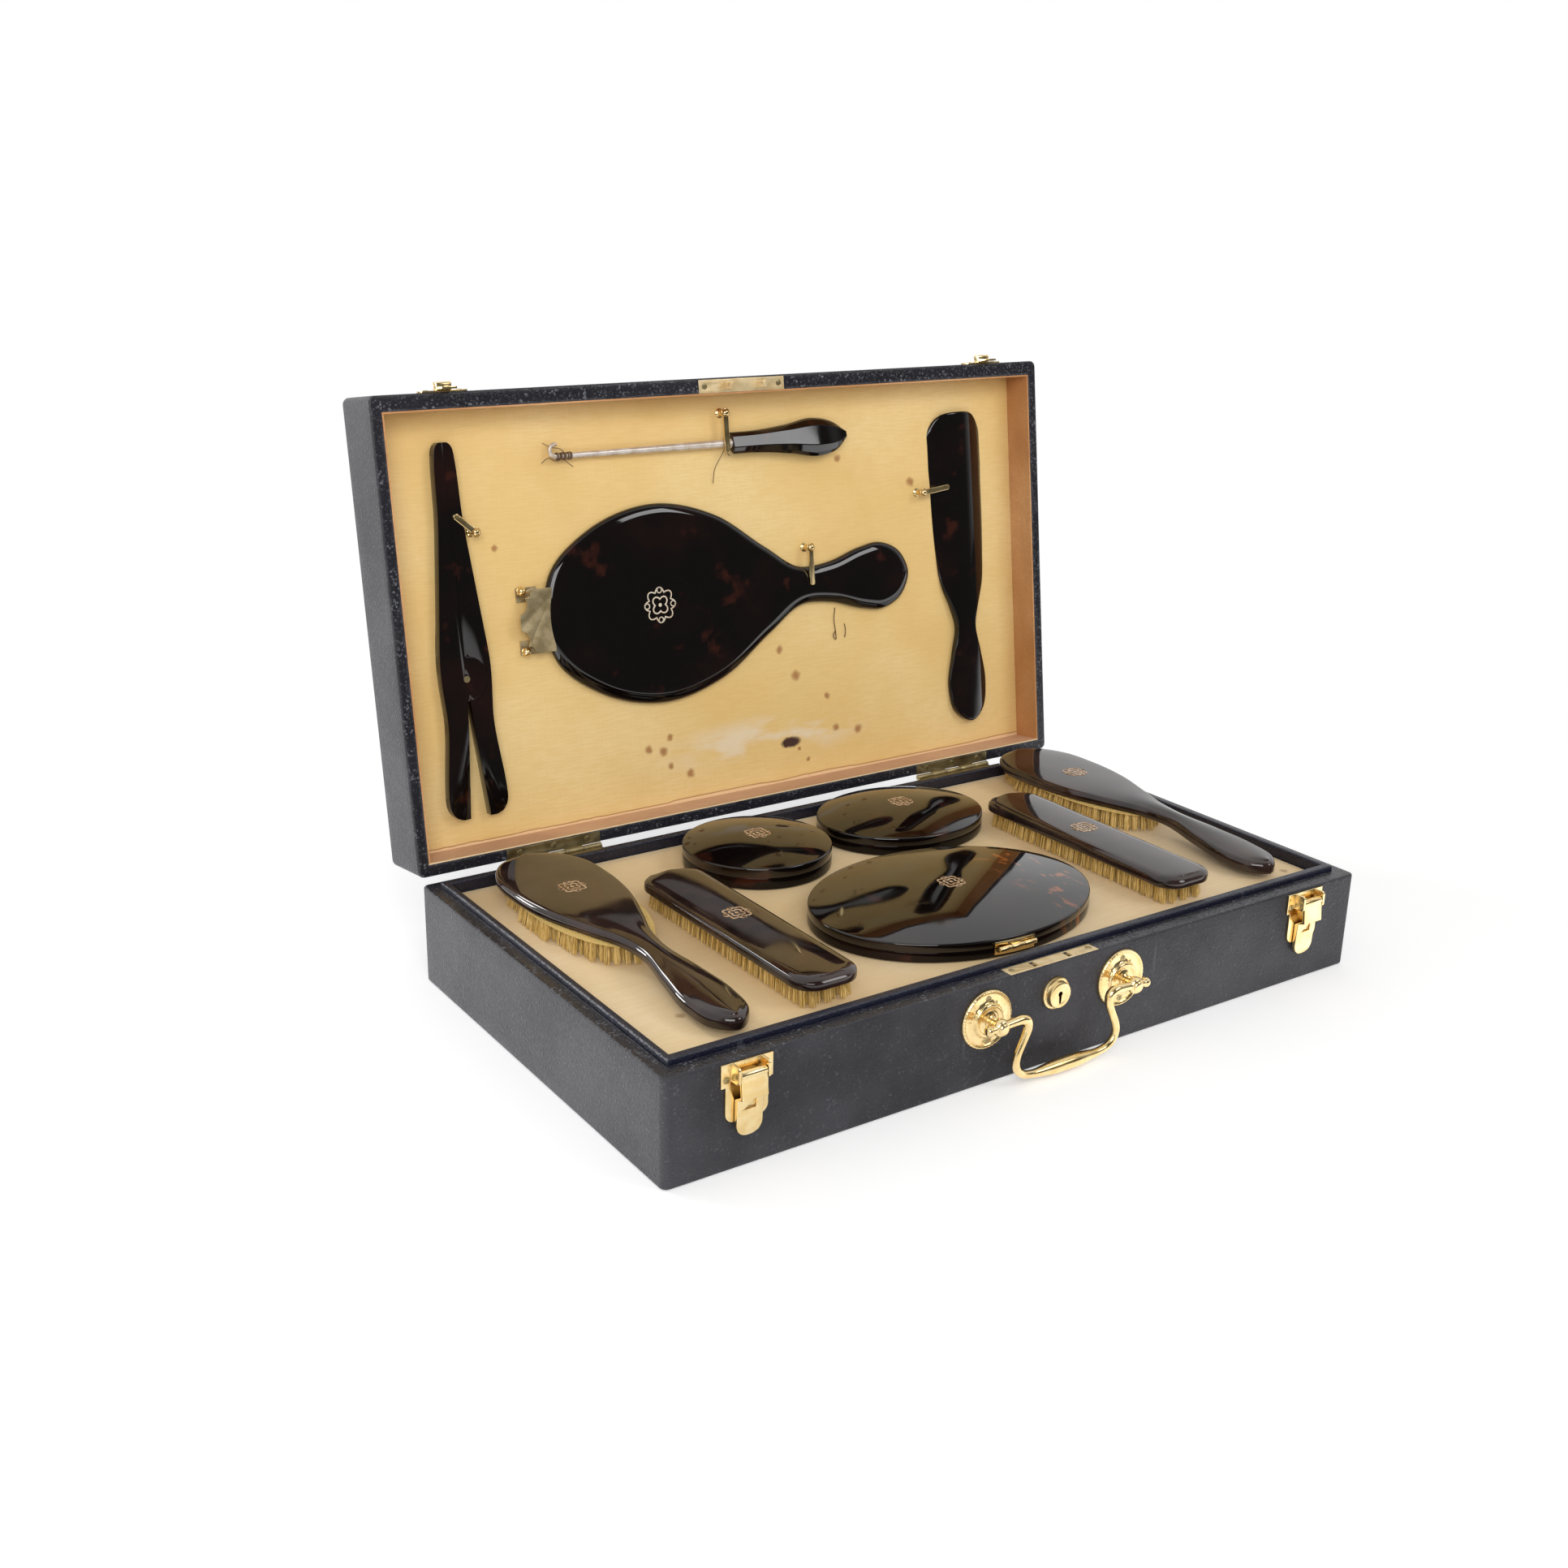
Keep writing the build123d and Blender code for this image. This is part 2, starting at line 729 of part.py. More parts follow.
def lid_hinge_leaves():
    leaves = []
    z_pin = closed_gap - hinge_rise
    for middle in hinge_middles():
        leaf = hinge_leaf(middle, 1, 0, -hinge_setback, z_pin, -leaf_thickness, 0, 1)
        leaves.append(main_solid(drill(leaf, lid_rim_screws())))
    return Compound(children=leaves)


def hinge_pins():
    half = hinge_length / 2
    pins = [rod((m - half, pivot_y, pivot_z), (m + half, pivot_y, pivot_z), hinge_pin_radius)
            for m in hinge_middles()]
    return Compound(children=[main_solid(pin) for pin in pins])


# Lid, in its own frame

def lid_opening(z0, z1, inset):
    x = case_length / 2 - side_rim + lip_clearance - inset
    y0 = rear_rim - lip_clearance + inset
    y1 = case_depth - front_rim + lip_clearance - inset
    return block(-x, x, y0, y1, z0, z1)


def lid_leather():
    skin = rounded_block(case_length, case_depth, case_depth / 2, -lid_height, 0, corner_radius)
    skin = fillet(skin.edges().group_by(Axis.Z)[0], foot_edge_radius)
    inside = rounded_block(case_length - 2 * leather, case_depth - 2 * leather, case_depth / 2,
                           -lid_height + leather, -leather, corner_radius - leather)
    skin = skin - inside - lid_opening(-lid_height / 2, 1, -side_lining)
    for bed in leaf_recess(0, 0, 1):
        skin = skin - bed
    skin = skin - lock_plate_bed(0, case_depth, -1)
    return drill(skin, lid_rim_screws() + catch_screws())


def lid_carcass():
    box = rounded_block(case_length - 2 * leather, case_depth - 2 * leather, case_depth / 2,
                        -lid_height + leather, -leather, corner_radius - leather)
    box = box - lid_opening(-lid_height + leather + panel, 0, -side_lining)
    for bed in leaf_recess(0, 0, 1):
        box = box - bed
    box = box - lock_plate_bed(0, case_depth, -1)
    return drill(box, lid_rim_screws() + catch_screws())


def lid_side_lining():
    return lid_opening(board_level, -lining_setback, -side_lining) - lid_opening(board_level - 1, 1, 0)


def lid_board():
    return lid_opening(board_level - board_thickness, board_level, -side_lining)


def lid_battens():
    z0 = -lid_height + leather + panel
    z1 = board_level - board_thickness
    return lid_opening(z0, z1, -side_lining) - lid_opening(z0 - 1, z1 + 1, batten_width - side_lining)


# Turn hooks: reference point of the tool, place of the post from there, direction of the arm on the board
# in degrees, reach of the arm, and height of what the arm lies over

turn_hooks = {
    "stretcher": {"tool": (stretcher_x, stretcher_v), "offset": (13.7, 83.7), "angle": 139.0, "reach": 14.8,
                  "over": tool_height},
    "mirror": {"tool": (mirror_x, mirror_v), "offset": (111.2, 24.4), "angle": 270.0, "reach": 22.6,
               "over": tool_height},
    "button": {"tool": (button_hook_x, button_hook_v), "offset": (-4.4, 18.7), "angle": 270.0, "reach": 22.6,
               "over": shank_height + shank_radius},
    "shoehorn": {"tool": (shoehorn_x, shoehorn_v), "offset": (-33.0, -51.0), "angle": 6.0, "reach": 20.6,
                 "over": tool_height},
}


def hook_post_place(hook):
    x, v = hook["tool"]
    across, up = hook["offset"]
    return x + across, v + up


def arm_level(hook):
    return tool_level + hook["over"] + arm_gap


def turn_hook_posts():
    posts = []
    for hook in turn_hooks.values():
        x, v = hook_post_place(hook)
        top = arm_level(hook) + hook_arm_thickness + 0.2
        post = rod((x, v, board_level), (x, v, board_level + hook_flange_height), hook_flange_radius)
        post = post + rod((x, v, board_level), (x, v, top + 0.6), hook_post_radius)
        post = post + rod((x, v, board_level), (x, v, arm_level(hook) - 0.2), hook_knob_radius)
        knob = rod((x, v, top), (x, v, top + 1.5), hook_knob_radius)
        rim = knob.edges().group_by(Axis.Z)[-1]
        posts.append(main_solid(post + fillet(rim, 1.1)))
    return Compound(children=posts)


def turn_hook_arm(name):
    hook = turn_hooks[name]
    x, v = hook_post_place(hook)
    reach = hook["reach"]
    bar = RectangleRounded(reach + hook_arm_width, hook_arm_width, hook_arm_width / 2 - 0.1)
    bar = Pos(reach / 2, 0, 0) * bar
    flat = bar + Circle(hook_eye_radius) - Circle(hook_post_radius + running_fit)
    arm = extrude(flat, hook_arm_thickness)
    return Pos(x, v, arm_level(hook)) * Rot(0, 0, hook["angle"]) * arm


# Hand mirror and its bracket

def mirror_body_outline():
    return Pos(mirror_x, mirror_v, tool_level) * mirrored_face(mirror_outline)


def glass_space(extra, z0, z1):
    outline = Ellipse(glass_length / 2 + extra, glass_width / 2 + extra)
    return Pos(mirror_x - 4.0, mirror_v, z0) * extrude(outline, z1 - z0)


def mirror_frame():
    body = extrude(mirror_body_outline(), tool_height)
    rim = body.edges().group_by(Axis.Z)[-1]
    body = fillet(rim, mirror_edge_radius)
    return body - glass_space(0, tool_level, tool_level + glass_thickness)


def mirror_glass():
    return glass_space(0, tool_level + 0.3, tool_level + glass_thickness)


def bracket_axis():
    """Line through the bracket's two screws, left of the mirror's head."""
    return mirror_x + mirror_outline[0][0] - bracket_standoff


def bracket_screw_vs():
    return (mirror_v - bracket_height / 2 + 2.0, mirror_v + bracket_height / 2 - 2.0)


def mirror_bracket():
    """Foot on the board, riser, and a scalloped lip over the edge of the mirror's head."""
    x = bracket_axis()
    lip_level = tool_level + tool_height + arm_gap
    low = mirror_v - bracket_height / 2
    high = mirror_v + bracket_height / 2
    head_edge = mirror_x + mirror_outline[0][0]
    riser = head_edge - 3.2
    foot = block(x - 3, riser, low, low + bracket_foot, board_level, board_level + bracket_plate)
    foot = foot + block(x - 3, riser, high - bracket_foot, high, board_level, board_level + bracket_plate)
    wall = block(riser - bracket_plate, riser, low + 4, high - 4, board_level, lip_level + bracket_plate)
    lip = block(x - 4.6, head_edge + bracket_grip, low + 1, high - 1, lip_level, lip_level + bracket_plate)
    for v in (mirror_v - 11.0, mirror_v + 11.0):
        lip = lip - Pos(x - 6.0, v, lip_level) * Cylinder(6.5, 8)
    for v in bracket_screw_vs():
        lip = lip - Pos(x, v, lip_level) * Cylinder(3.6, 8)
    scoop = head_edge + bracket_scoop_grip + bracket_scoop_radius
    lip = lip - Pos(scoop, mirror_v, lip_level) * Cylinder(bracket_scoop_radius, 8)
    plate = foot + wall + lip
    for v in bracket_screw_vs():
        plate = plate - rod((x, v, board_level - 3), (x, v, board_level + 9), bracket_screw_radius)
    return main_solid(plate)


def bracket_screws():
    screws = []
    x = bracket_axis()
    for v in bracket_screw_vs():
        top = board_level + bracket_plate
        body = rod((x, v, board_level), (x, v, top + 1), bracket_screw_radius)
        head = rod((x, v, top), (x, v, top + bracket_screw_height), bracket_screw_head)
        rim = head.edges().group_by(Axis.Z)[-1]
        screws.append(main_solid(body + fillet(rim, 2.0)))
    return Compound(children=screws)


# Glove stretchers

def stretcher_place():
    return Pos(stretcher_x, stretcher_v, tool_level) * Rot(0, 0, stretcher_lean)


def half_outline():
    """Right half, pivot at the origin: inner edge, leg, outer edge, tip of the jaw."""
    inner = [(half_gap / 2, jaw_outline[0][0]), (half_gap / 2, 4.0)]
    inner = inner + [(x, v) for v, x in leg_inner]
    leg = [(leg_tip_inner, leg_end), (leg_tip_outer, leg_end)]
    outer = [(x, v) for v, x in reversed(jaw_outline)]
    edges = Polyline(*inner, *leg, outer[0]) + Spline(*outer) + Line(outer[-1], inner[0])
    return make_face(edges)


def lap(radius, z0, z1):
    return Pos(0, 0, z0) * extrude(Circle(radius), z1 - z0)


def stretcher_half(own_low, mirror_it):
    middle = tool_height / 2
    body = extrude(half_outline(), tool_height)
    if mirror_it:
        body = mirror(body, about=Plane.YZ)
    layer = (0, middle - 0.1) if own_low else (middle + 0.1, tool_height)
    other = (middle - 0.1, tool_height) if own_low else (0, middle + 0.1)
    body = body - lap(lap_radius + moving_gap, *other) + lap(lap_radius, *layer)
    fit = 0.0 if own_low else running_fit
    return body - lap(stretcher_pin_radius + fit, -1, tool_height + 1)


def stretcher_fixed_half():
    return stretcher_place() * stretcher_half(True, False)


def stretcher_moving_half():
    return stretcher_place() * stretcher_half(False, True)


def stretcher_pin():
    return stretcher_place() * lap(stretcher_pin_radius, 0, tool_height)


# Button hook

def button_hook_handle():
    upper = [(a, b) for a, b in button_outline]
    lower = [(a, -b) for a, b in reversed(button_outline)]
    sides = Spline(*upper) + Line(upper[-1], lower[0]) + Spline(*lower) + Line(lower[-1], upper[0])
    handle = extrude(make_face(sides), button_handle_height)
    rims = handle.edges().group_by(Axis.Z)[-1] + handle.edges().group_by(Axis.Z)[0]
    handle = chamfer(rims, button_facet)
    handle = Pos(button_hook_x, button_hook_v, tool_level) * handle
    centre = tool_level + shank_height
    socket_end = button_hook_x + shank_socket
    socket = rod((button_hook_x - 1, button_hook_v, centre), (socket_end, button_hook_v, centre),
                 shank_radius)
    return handle - socket


def button_hook_shank():
    centre = tool_level + shank_height
    x = button_hook_x
    v = button_hook_v
    end = x - shank_length
    bar = rod((x + shank_socket, v, centre), (end, v, centre), shank_radius)
    collar = rod((x - ferrule_length, v, centre), (x, v, centre), ferrule_radius)
    ring = Pos(end, v + hook_bend_radius, centre) * Torus(hook_bend_radius, shank_radius * 0.7)
    keep = block(end - 9, end + hook_bend_radius * 0.6, v - 9, v + 20, centre - 9, centre + 9)
    return bar + collar + (ring & keep)


# Shoehorn

def shoehorn():
    outline = mirrored_face(shoehorn_outline)
    plan = extrude(outline, tool_height)
    crown = tool_height - shoehorn_arch_radius
    length = shoehorn_outline[-1][0]
    outer = rod((-1, 0, crown), (length + 1, 0, crown), shoehorn_arch_radius)
    inner = rod((-2, 0, crown), (length + 2, 0, crown), shoehorn_arch_radius - shoehorn_shell)
    core = block(shoehorn_handle_start, length + 3, -30, 30, 1.0, tool_height)
    horn = (plan & outer) - (inner - core)
    place = Pos(shoehorn_x, shoehorn_v, tool_level) * Rot(0, 0, -90 + shoehorn_lean)
    return place * main_solid(horn)


# Brushes

def brush_bottom():
    return item_level + bristle_height


def hairbrush_back(name):
    x, y_rear = hairbrush_places[name]
    low = brush_bottom()
    top = low + brush_back_height
    length = hairbrush_outline[-1][0]
    plan = Rot(0, 0, -90) * extrude(mirrored_face(hairbrush_outline), 40)
    plan = Pos(0, 0, low - 20) * plan
    upper = Spline((-hairbrush_level, top), (-length - 2, top - hairbrush_end_drop),
                   tangents=((-1, 0), (-1, -0.03)))
    lower_end = top - hairbrush_end_drop - hairbrush_handle_thickness
    lower = Spline((-hairbrush_level, low), (-length - 2, lower_end), tangents=((-1, 0), (-1, -0.03)))
    ends = Line((-length - 2, top - hairbrush_end_drop), (-length - 2, lower_end))
    head = Polyline((-hairbrush_level, top), (2, top), (2, low), (-hairbrush_level, low))
    side = Plane.YZ * make_face([upper, ends, lower, head])
    profile = extrude(side, 45, both=True)
    return Pos(x, y_rear, 0) * (plan & profile)


def tuft_places(field, pitch, oval):
    """Staggered rows of places along and across the field."""
    length, width = field
    places = []
    rows = int(width / 2 / pitch[1])
    columns = int(length / 2 / pitch[0])
    for row in range(-rows, rows + 1):
        for column in range(-columns, columns + 1):
            a = (column + 0.5 * (row % 2)) * pitch[0]
            b = row * pitch[1]
            round_limit = (2 * a / length) ** 2 + (2 * b / width) ** 2 <= 1
            straight_limit = abs(a) <= length / 2
            if round_limit if oval else straight_limit:
                places.append((a, b))
    return places


def tufts(field, pitch, splay, oval, top):
    """Slice of the backing with four-sided tufts under it, leaning outwards, cut level above the tray."""
    length, width = field
    margin = 2 * tuft_size
    outline = Ellipse((length + margin) / 2, (width + margin) / 2)
    if not oval:
        outline = RectangleRounded(length + margin, width + margin, 9.0)
    backing = Pos(0, 0, top - tuft_slice) * extrude(outline, tuft_slice)
    drop = bristle_height - tuft_slice / 2
    strands = []
    for a, b in tuft_places(field, pitch, oval):
        root = Plane(origin=(a, b, top - tuft_slice / 2)) * Rectangle(tuft_size, tuft_size)
        way = Vector(a * splay * 0.4, b * splay, -drop)
        strands.append(extrude(root, way.length, dir=way.normalized()))
    print(len(strands), "tufts")
    return backing.fuse(*strands)


def hairbrush_bristles(name):
    x, y_rear = hairbrush_places[name]
    field = tufts(hairbrush_field, hairbrush_pitch, hairbrush_splay, True, brush_bottom())
    return Pos(x, y_rear - hairbrush_field_start - hairbrush_field[0] / 2, 0) * Rot(0, 0, 90) * field


def clothes_brush_back(name):
    x, y = clothes_brush_places[name]
    outline = RectangleRounded(clothes_brush_width, clothes_brush_length, clothes_brush_corner)
    back = Pos(x, y, brush_bottom()) * extrude(outline, brush_back_height)
    return fillet(back.edges().group_by(Axis.Z)[-1], brush_edge_radius)


def clothes_brush_bristles(name):
    x, y = clothes_brush_places[name]
    field = tufts(clothes_field, clothes_pitch, clothes_splay, False, brush_bottom())
    return Pos(x, y, 0) * Rot(0, 0, 90) * field


# Boxes

def oval_block(box, inset, z0, z1):
    x, y = box["middle"]
    outline = Ellipse(box["half_length"] - inset, box["half_width"] - inset)
    return Pos(x, y, z0) * extrude(outline, z1 - z0)


def box_parting(box):
    return item_level + box["height"] * (1 - box_lid_share)


def box_base(box):
    low = item_level
    parting = box_parting(box)
    body = oval_block(box, 0, low, parting)
    body = fillet(body.edges().group_by(Axis.Z)[0], box_edge_radius)
    body = body + oval_block(box, box_skirt + box_fit, parting - 1, parting + box_spigot)
    return body - oval_block(box, box_wall, low + box_floor, parting + box_spigot + 1)


def box_crown(box, z):
    """Shallow oval dome standing on level z."""
    x, y = box["middle"]
    length = box["half_length"] - box_crown_inset
    width = box["half_width"] - box_crown_inset
    crown = box["crown"]
    radius = (length ** 2 + crown ** 2) / (2 * crown)
    half_angle = math.asin(length / radius) / 2
    middle = (radius * math.sin(half_angle), crown - radius * (1 - math.cos(half_angle)))
    arc = ThreePointArc((length, 0), middle, (0, crown))
    profile = make_face([Line((0, 0), (length, 0)), arc, Line((0, crown), (0, 0))])
    dome = revolve(Plane.XZ * profile, Axis.Z)
    return Pos(x, y, z) * scale(dome, by=(1, width / length, 1))


def box_lid(box):
    parting = box_parting(box)
    top = item_level + box["height"]
    ceiling = parting + box_spigot + box_fit
    cover = oval_block(box, 0, parting, top)
    cover = fillet(cover.edges().group_by(Axis.Z)[-1], box_edge_radius) + box_crown(box, top)
    return cover - oval_block(box, box_skirt, parting - 1, ceiling) - box_crown(box, ceiling)


def box_hinge_axis():
    box = large_box
    x, y = box["middle"]
    across = (box_hinge_x - x) / box["half_length"]
    edge = y - box["half_width"] * math.sqrt(1 - across ** 2)
    return edge - box_hinge_offset, box_parting(box)


def box_hinge_spans():
    pitch = box_hinge_length / 3
    start = box_hinge_x - box_hinge_length / 2
    return [(start + i * pitch + 0.15, start + (i + 1) * pitch - 0.15) for i in range(3)]


def box_hinge_leaf(own, z0, z1):
    """Leaf against the box's side, with its share of the three knuckles."""
    y, z = box_hinge_axis()
    x0 = box_hinge_x - box_hinge_length / 2
    plate = block(x0, x0 + box_hinge_length, y, y + 8, z0, z1)
    plate = plate & oval_block(large_box, -box_leaf, z0 - 1, z1 + 1)
    side = -1 if own == 0 else 1
    web_z0, web_z1 = sorted((z + side * box_web_gap, z + side * (box_knuckle_radius - 0.1)))
    for a, b in box_hinge_spans():
        plate = plate - rod((a - moving_gap, y, z), (b + moving_gap, y, z), box_knuckle_radius + moving_gap)
    for number, (a, b) in enumerate(box_hinge_spans()):
        if number % 2 == own:
            plate = plate + block(a, b, y, y + box_hinge_offset + 2, web_z0, web_z1)
            plate = plate + rod((a, y, z), (b, y, z), box_knuckle_radius)
    plate = plate - oval_block(large_box, 0, z0 - 9, z1 + 9)
    bore = box_pin_radius + own * running_fit
    return main_solid(plate - rod((x0 - 1, y, z), (x0 + box_hinge_length + 1, y, z), bore))


def box_hinge_base_leaf():
    z = box_parting(large_box)
    return box_hinge_leaf(0, item_level + 1.4 * box_edge_radius, z - box_web_gap)


def box_hinge_lid_leaf():
    z = box_parting(large_box)
    return box_hinge_leaf(1, z + box_web_gap, item_level + large_box["height"] - 1.1 * box_edge_radius)


def box_hinge_pin():
    y, z = box_hinge_axis()
    half = box_hinge_length / 2
    return rod((box_hinge_x - half, y, z), (box_hinge_x + half, y, z), box_pin_radius)


def screws(places):
    return Compound(children=[main_solid(screw(place)) for place in places])


def build():
    nodes = {
        "base_carcass": base_carcass(), "base_leather": base_leather(), "base_lip": base_lip(),
        "tray_bearers": tray_bearers(), "base_tray": base_tray(), "lock_case": lock_case(),
        "lock_bolt": lock_bolt(), "lock_escutcheon": lock_escutcheon(), "handle_rosettes": handle_rosettes(),
        "handle_posts": handle_posts(), "handle_bail": handle_bail(), "latch_pins": latch_pins(),
        "base_hinge_leaves": base_hinge_leaves(), "hinge_pins": hinge_pins(),
        "base_screws": screws(base_rim_screws() + front_screws()),
        "small_box_base": box_base(small_box), "small_box_lid": box_lid(small_box),
        "medium_box_base": box_base(medium_box), "medium_box_lid": box_lid(medium_box),
        "large_box_base": box_base(large_box), "large_box_lid": box_lid(large_box),
        "large_box_hinge_base_leaf": box_hinge_base_leaf(), "large_box_hinge_lid_leaf": box_hinge_lid_leaf(),
        "large_box_hinge_pin": box_hinge_pin(),
    }
    for side, x in latch_places.items():
        nodes[side + "_latch_plate"] = latch_plate(x)
        nodes[side + "_latch_lever"] = latch_lever(x)
        nodes[side + "_hairbrush_back"] = hairbrush_back(side)
        nodes[side + "_hairbrush_bristles"] = hairbrush_bristles(side)
        nodes[side + "_clothes_brush_back"] = clothes_brush_back(side)
        nodes[side + "_clothes_brush_bristles"] = clothes_brush_bristles(side)
    in_lid = {
        "lid_carcass": lid_carcass(), "lid_leather": lid_leather(), "lid_board": lid_board(),
        "lid_battens": lid_battens(), "lid_side_lining": lid_side_lining(),
        "lid_lock_plate": lid_lock_plate(),
        "lid_catches": lid_catches(), "lid_hinge_leaves": lid_hinge_leaves(),
        "lid_screws": screws(lid_rim_screws() + catch_screws()), "mirror_bracket": mirror_bracket(),
        "bracket_screws": bracket_screws(), "turn_hook_posts": turn_hook_posts(),
        "mirror_frame": mirror_frame(), "mirror_glass": mirror_glass(),
        "stretcher_fixed_half": stretcher_fixed_half(), "stretcher_moving_half": stretcher_moving_half(),
        "stretcher_pin": stretcher_pin(), "button_hook_handle": button_hook_handle(),
        "button_hook_shank": button_hook_shank(), "shoehorn": shoehorn(),
    }
    for name in turn_hooks:
        in_lid[name + "_turn_hook"] = turn_hook_arm(name)
    place = lid_place()
    for name, shape in in_lid.items():
        nodes[name] = place * shape
    return nodes


os.makedirs("parts", exist_ok=True)
for node, shape in build().items():
    export_step(shape, "parts/" + node + ".step")
    print(node, len(shape.solids()), "solids", round(shape.volume), "mm3")
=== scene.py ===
import json
import math
import random

import bmesh
import bpy
from mathutils import Matrix, Vector, noise


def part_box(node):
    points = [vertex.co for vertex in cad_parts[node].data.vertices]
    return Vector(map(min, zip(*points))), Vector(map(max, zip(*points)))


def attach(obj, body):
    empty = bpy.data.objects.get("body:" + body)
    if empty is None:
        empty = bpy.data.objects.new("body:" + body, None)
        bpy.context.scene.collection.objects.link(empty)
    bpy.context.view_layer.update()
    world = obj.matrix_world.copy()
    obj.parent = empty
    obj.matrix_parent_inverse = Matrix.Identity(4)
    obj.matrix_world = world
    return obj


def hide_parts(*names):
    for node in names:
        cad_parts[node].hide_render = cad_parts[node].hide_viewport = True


# Antique fitted dressing box, lid standing open. Shapes are written in mm in a place of their own
# and are then scaled and set where the frame's bodies are.

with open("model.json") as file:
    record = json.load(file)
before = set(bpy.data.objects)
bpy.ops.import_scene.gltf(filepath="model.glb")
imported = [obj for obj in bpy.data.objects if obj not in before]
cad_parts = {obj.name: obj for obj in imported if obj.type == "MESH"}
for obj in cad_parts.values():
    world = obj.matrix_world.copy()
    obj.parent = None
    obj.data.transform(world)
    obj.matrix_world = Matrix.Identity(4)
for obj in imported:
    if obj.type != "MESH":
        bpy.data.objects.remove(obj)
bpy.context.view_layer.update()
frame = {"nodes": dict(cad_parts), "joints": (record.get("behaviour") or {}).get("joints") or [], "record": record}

mm = 0.001
scene = bpy.context.scene
dice = random.Random(11)
joints = {joint["name"]: joint for joint in frame["joints"]}
slotOfNode = {part["node"]: part["material_slot"] for part in frame["record"]["subparts"]}
bodyOfNode = {}
for bodyName, members in frame["record"]["behaviour"]["bodies"].items():
    for member in members:
        bodyOfNode[member] = bodyName
finishes = {}

# The lid's own frame: X along the hinges, Y up the open lid, Z out of its mouth
lidFit = {"closedGap": 1.0}
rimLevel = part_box("base_leather")[1].z / mm
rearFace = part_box("base_leather")[1].y / mm
lidPivot = Vector(joints["lid_hinge"]["pos_m"]) / mm
lidTurn = 180 + joints["lid_hinge"]["range_deg"][0]


def at(x=0.0, y=0.0, z=0.0, turnX=0.0, turnZ=0.0, inside=Matrix.Identity(4)):
    shift = Matrix.Translation(Vector((x, y, z)) * mm)
    turn = Matrix.Rotation(math.radians(turnZ), 4, "Z") @ Matrix.Rotation(math.radians(turnX), 4, "X")
    return inside @ shift @ turn


lidSeat = at(*lidPivot, turnX=lidTurn)
lidPlace = at(0, lidPivot.y - rearFace, lidPivot.z - rimLevel - lidFit["closedGap"], inside=lidSeat)
basePlace = Matrix.Identity(4)


def cornersIn(points, place):
    back = place.inverted()
    own = [(back @ p) / mm for p in points]
    low = Vector([min(p[i] for p in own) for i in range(3)])
    high = Vector([max(p[i] for p in own) for i in range(3)])
    return low, high


def boxIn(node, place=basePlace):
    return cornersIn([v.co for v in frame["nodes"][node].data.vertices], place)


def islandBoxes(node, place=basePlace):
    # lowest and highest corner of every loose part of a node, left to right
    work = bmesh.new()
    work.from_mesh(frame["nodes"][node].data)
    bmesh.ops.remove_doubles(work, verts=work.verts, dist=1e-6)
    left = set(work.verts)
    boxes = []
    while left:
        todo = [left.pop()]
        found = list(todo)
        while todo:
            for edge in todo.pop().link_edges:
                for v in edge.verts:
                    if v in left:
                        left.discard(v)
                        found.append(v)
                        todo.append(v)
        boxes.append(cornersIn([v.co for v in found], place))
    work.free()
    return sorted(boxes, key=lambda box: (round(box[0].x, 2), round(box[0].z, 2), round(box[0].y, 2)))


print("dressing box: frame loaded")

# Camera at the photograph's place
lens = {"x": -602.4, "y": -750.7, "z": 448.9, "azimuth": 34.664, "elevation": 19.12, "roll": 1.2605,
        "focal": 40.595}


def placeCamera():
    az, el, roll = (math.radians(lens[key]) for key in ("azimuth", "elevation", "roll"))
    ahead = Vector((math.sin(az) * math.cos(el), math.cos(az) * math.cos(el), -math.sin(el)))
    level = Vector((math.cos(az), -math.sin(az), 0))
    upright = level.cross(ahead)
    right = level * math.cos(roll) + upright * math.sin(roll)
    up = upright * math.cos(roll) - level * math.sin(roll)
    camera = bpy.data.objects.new("camera", bpy.data.cameras.new("camera"))
    camera.data.lens = lens["focal"]
    camera.data.clip_start = 0.02
    camera.data.clip_end = 60
    scene.collection.objects.link(camera)
    camera.matrix_world = Matrix.Translation(Vector((lens["x"], lens["y"], lens["z"])) * mm) @ Matrix(
        (right, up, -ahead)).transposed().to_4x4()
    scene.camera = camera


placeCamera()
scene.view_settings.view_transform = "Standard"


# Node helpers

def add(tree, kind, inputs=None, **settings):
    node = tree.nodes.new("ShaderNode" + kind)
    for key, value in settings.items():
        setattr(node, key, value)
    for key, value in (inputs or {}).items():
        if isinstance(value, bpy.types.NodeSocket):
            tree.links.new(value, node.inputs[key])
        else:
            node.inputs[key].default_value = value
    return node


def rgb(red, green, blue):
    return (red, green, blue, 1.0)


def blendColour(tree, factor, a, b, mode="MIX"):
    return add(tree, "Mix", {0: factor, 6: a, 7: b}, data_type="RGBA", blend_type=mode).outputs[2]


def between(tree, value, low, high, toLow=0.0, toHigh=1.0):
    inputs = {0: value, 1: low, 2: high, 3: toLow, 4: toHigh}
    return add(tree, "MapRange", inputs, interpolation_type="SMOOTHSTEP").outputs[0]


def maths(tree, operation, a, b=0.0):
    return add(tree, "Math", {0: a, 1: b}, operation=operation, use_clamp=True).outputs[0]


def cloud(tree, where, scale, low=0.4, high=0.6, detail=4.0, stretch=None):
    if stretch:
        where = add(tree, "Mapping", {0: where, "Scale": stretch}).outputs[0]
    found = add(tree, "TexNoise", {"Vector": where, "Scale": scale, "Detail": detail})
    return between(tree, found.outputs[0], low, high)


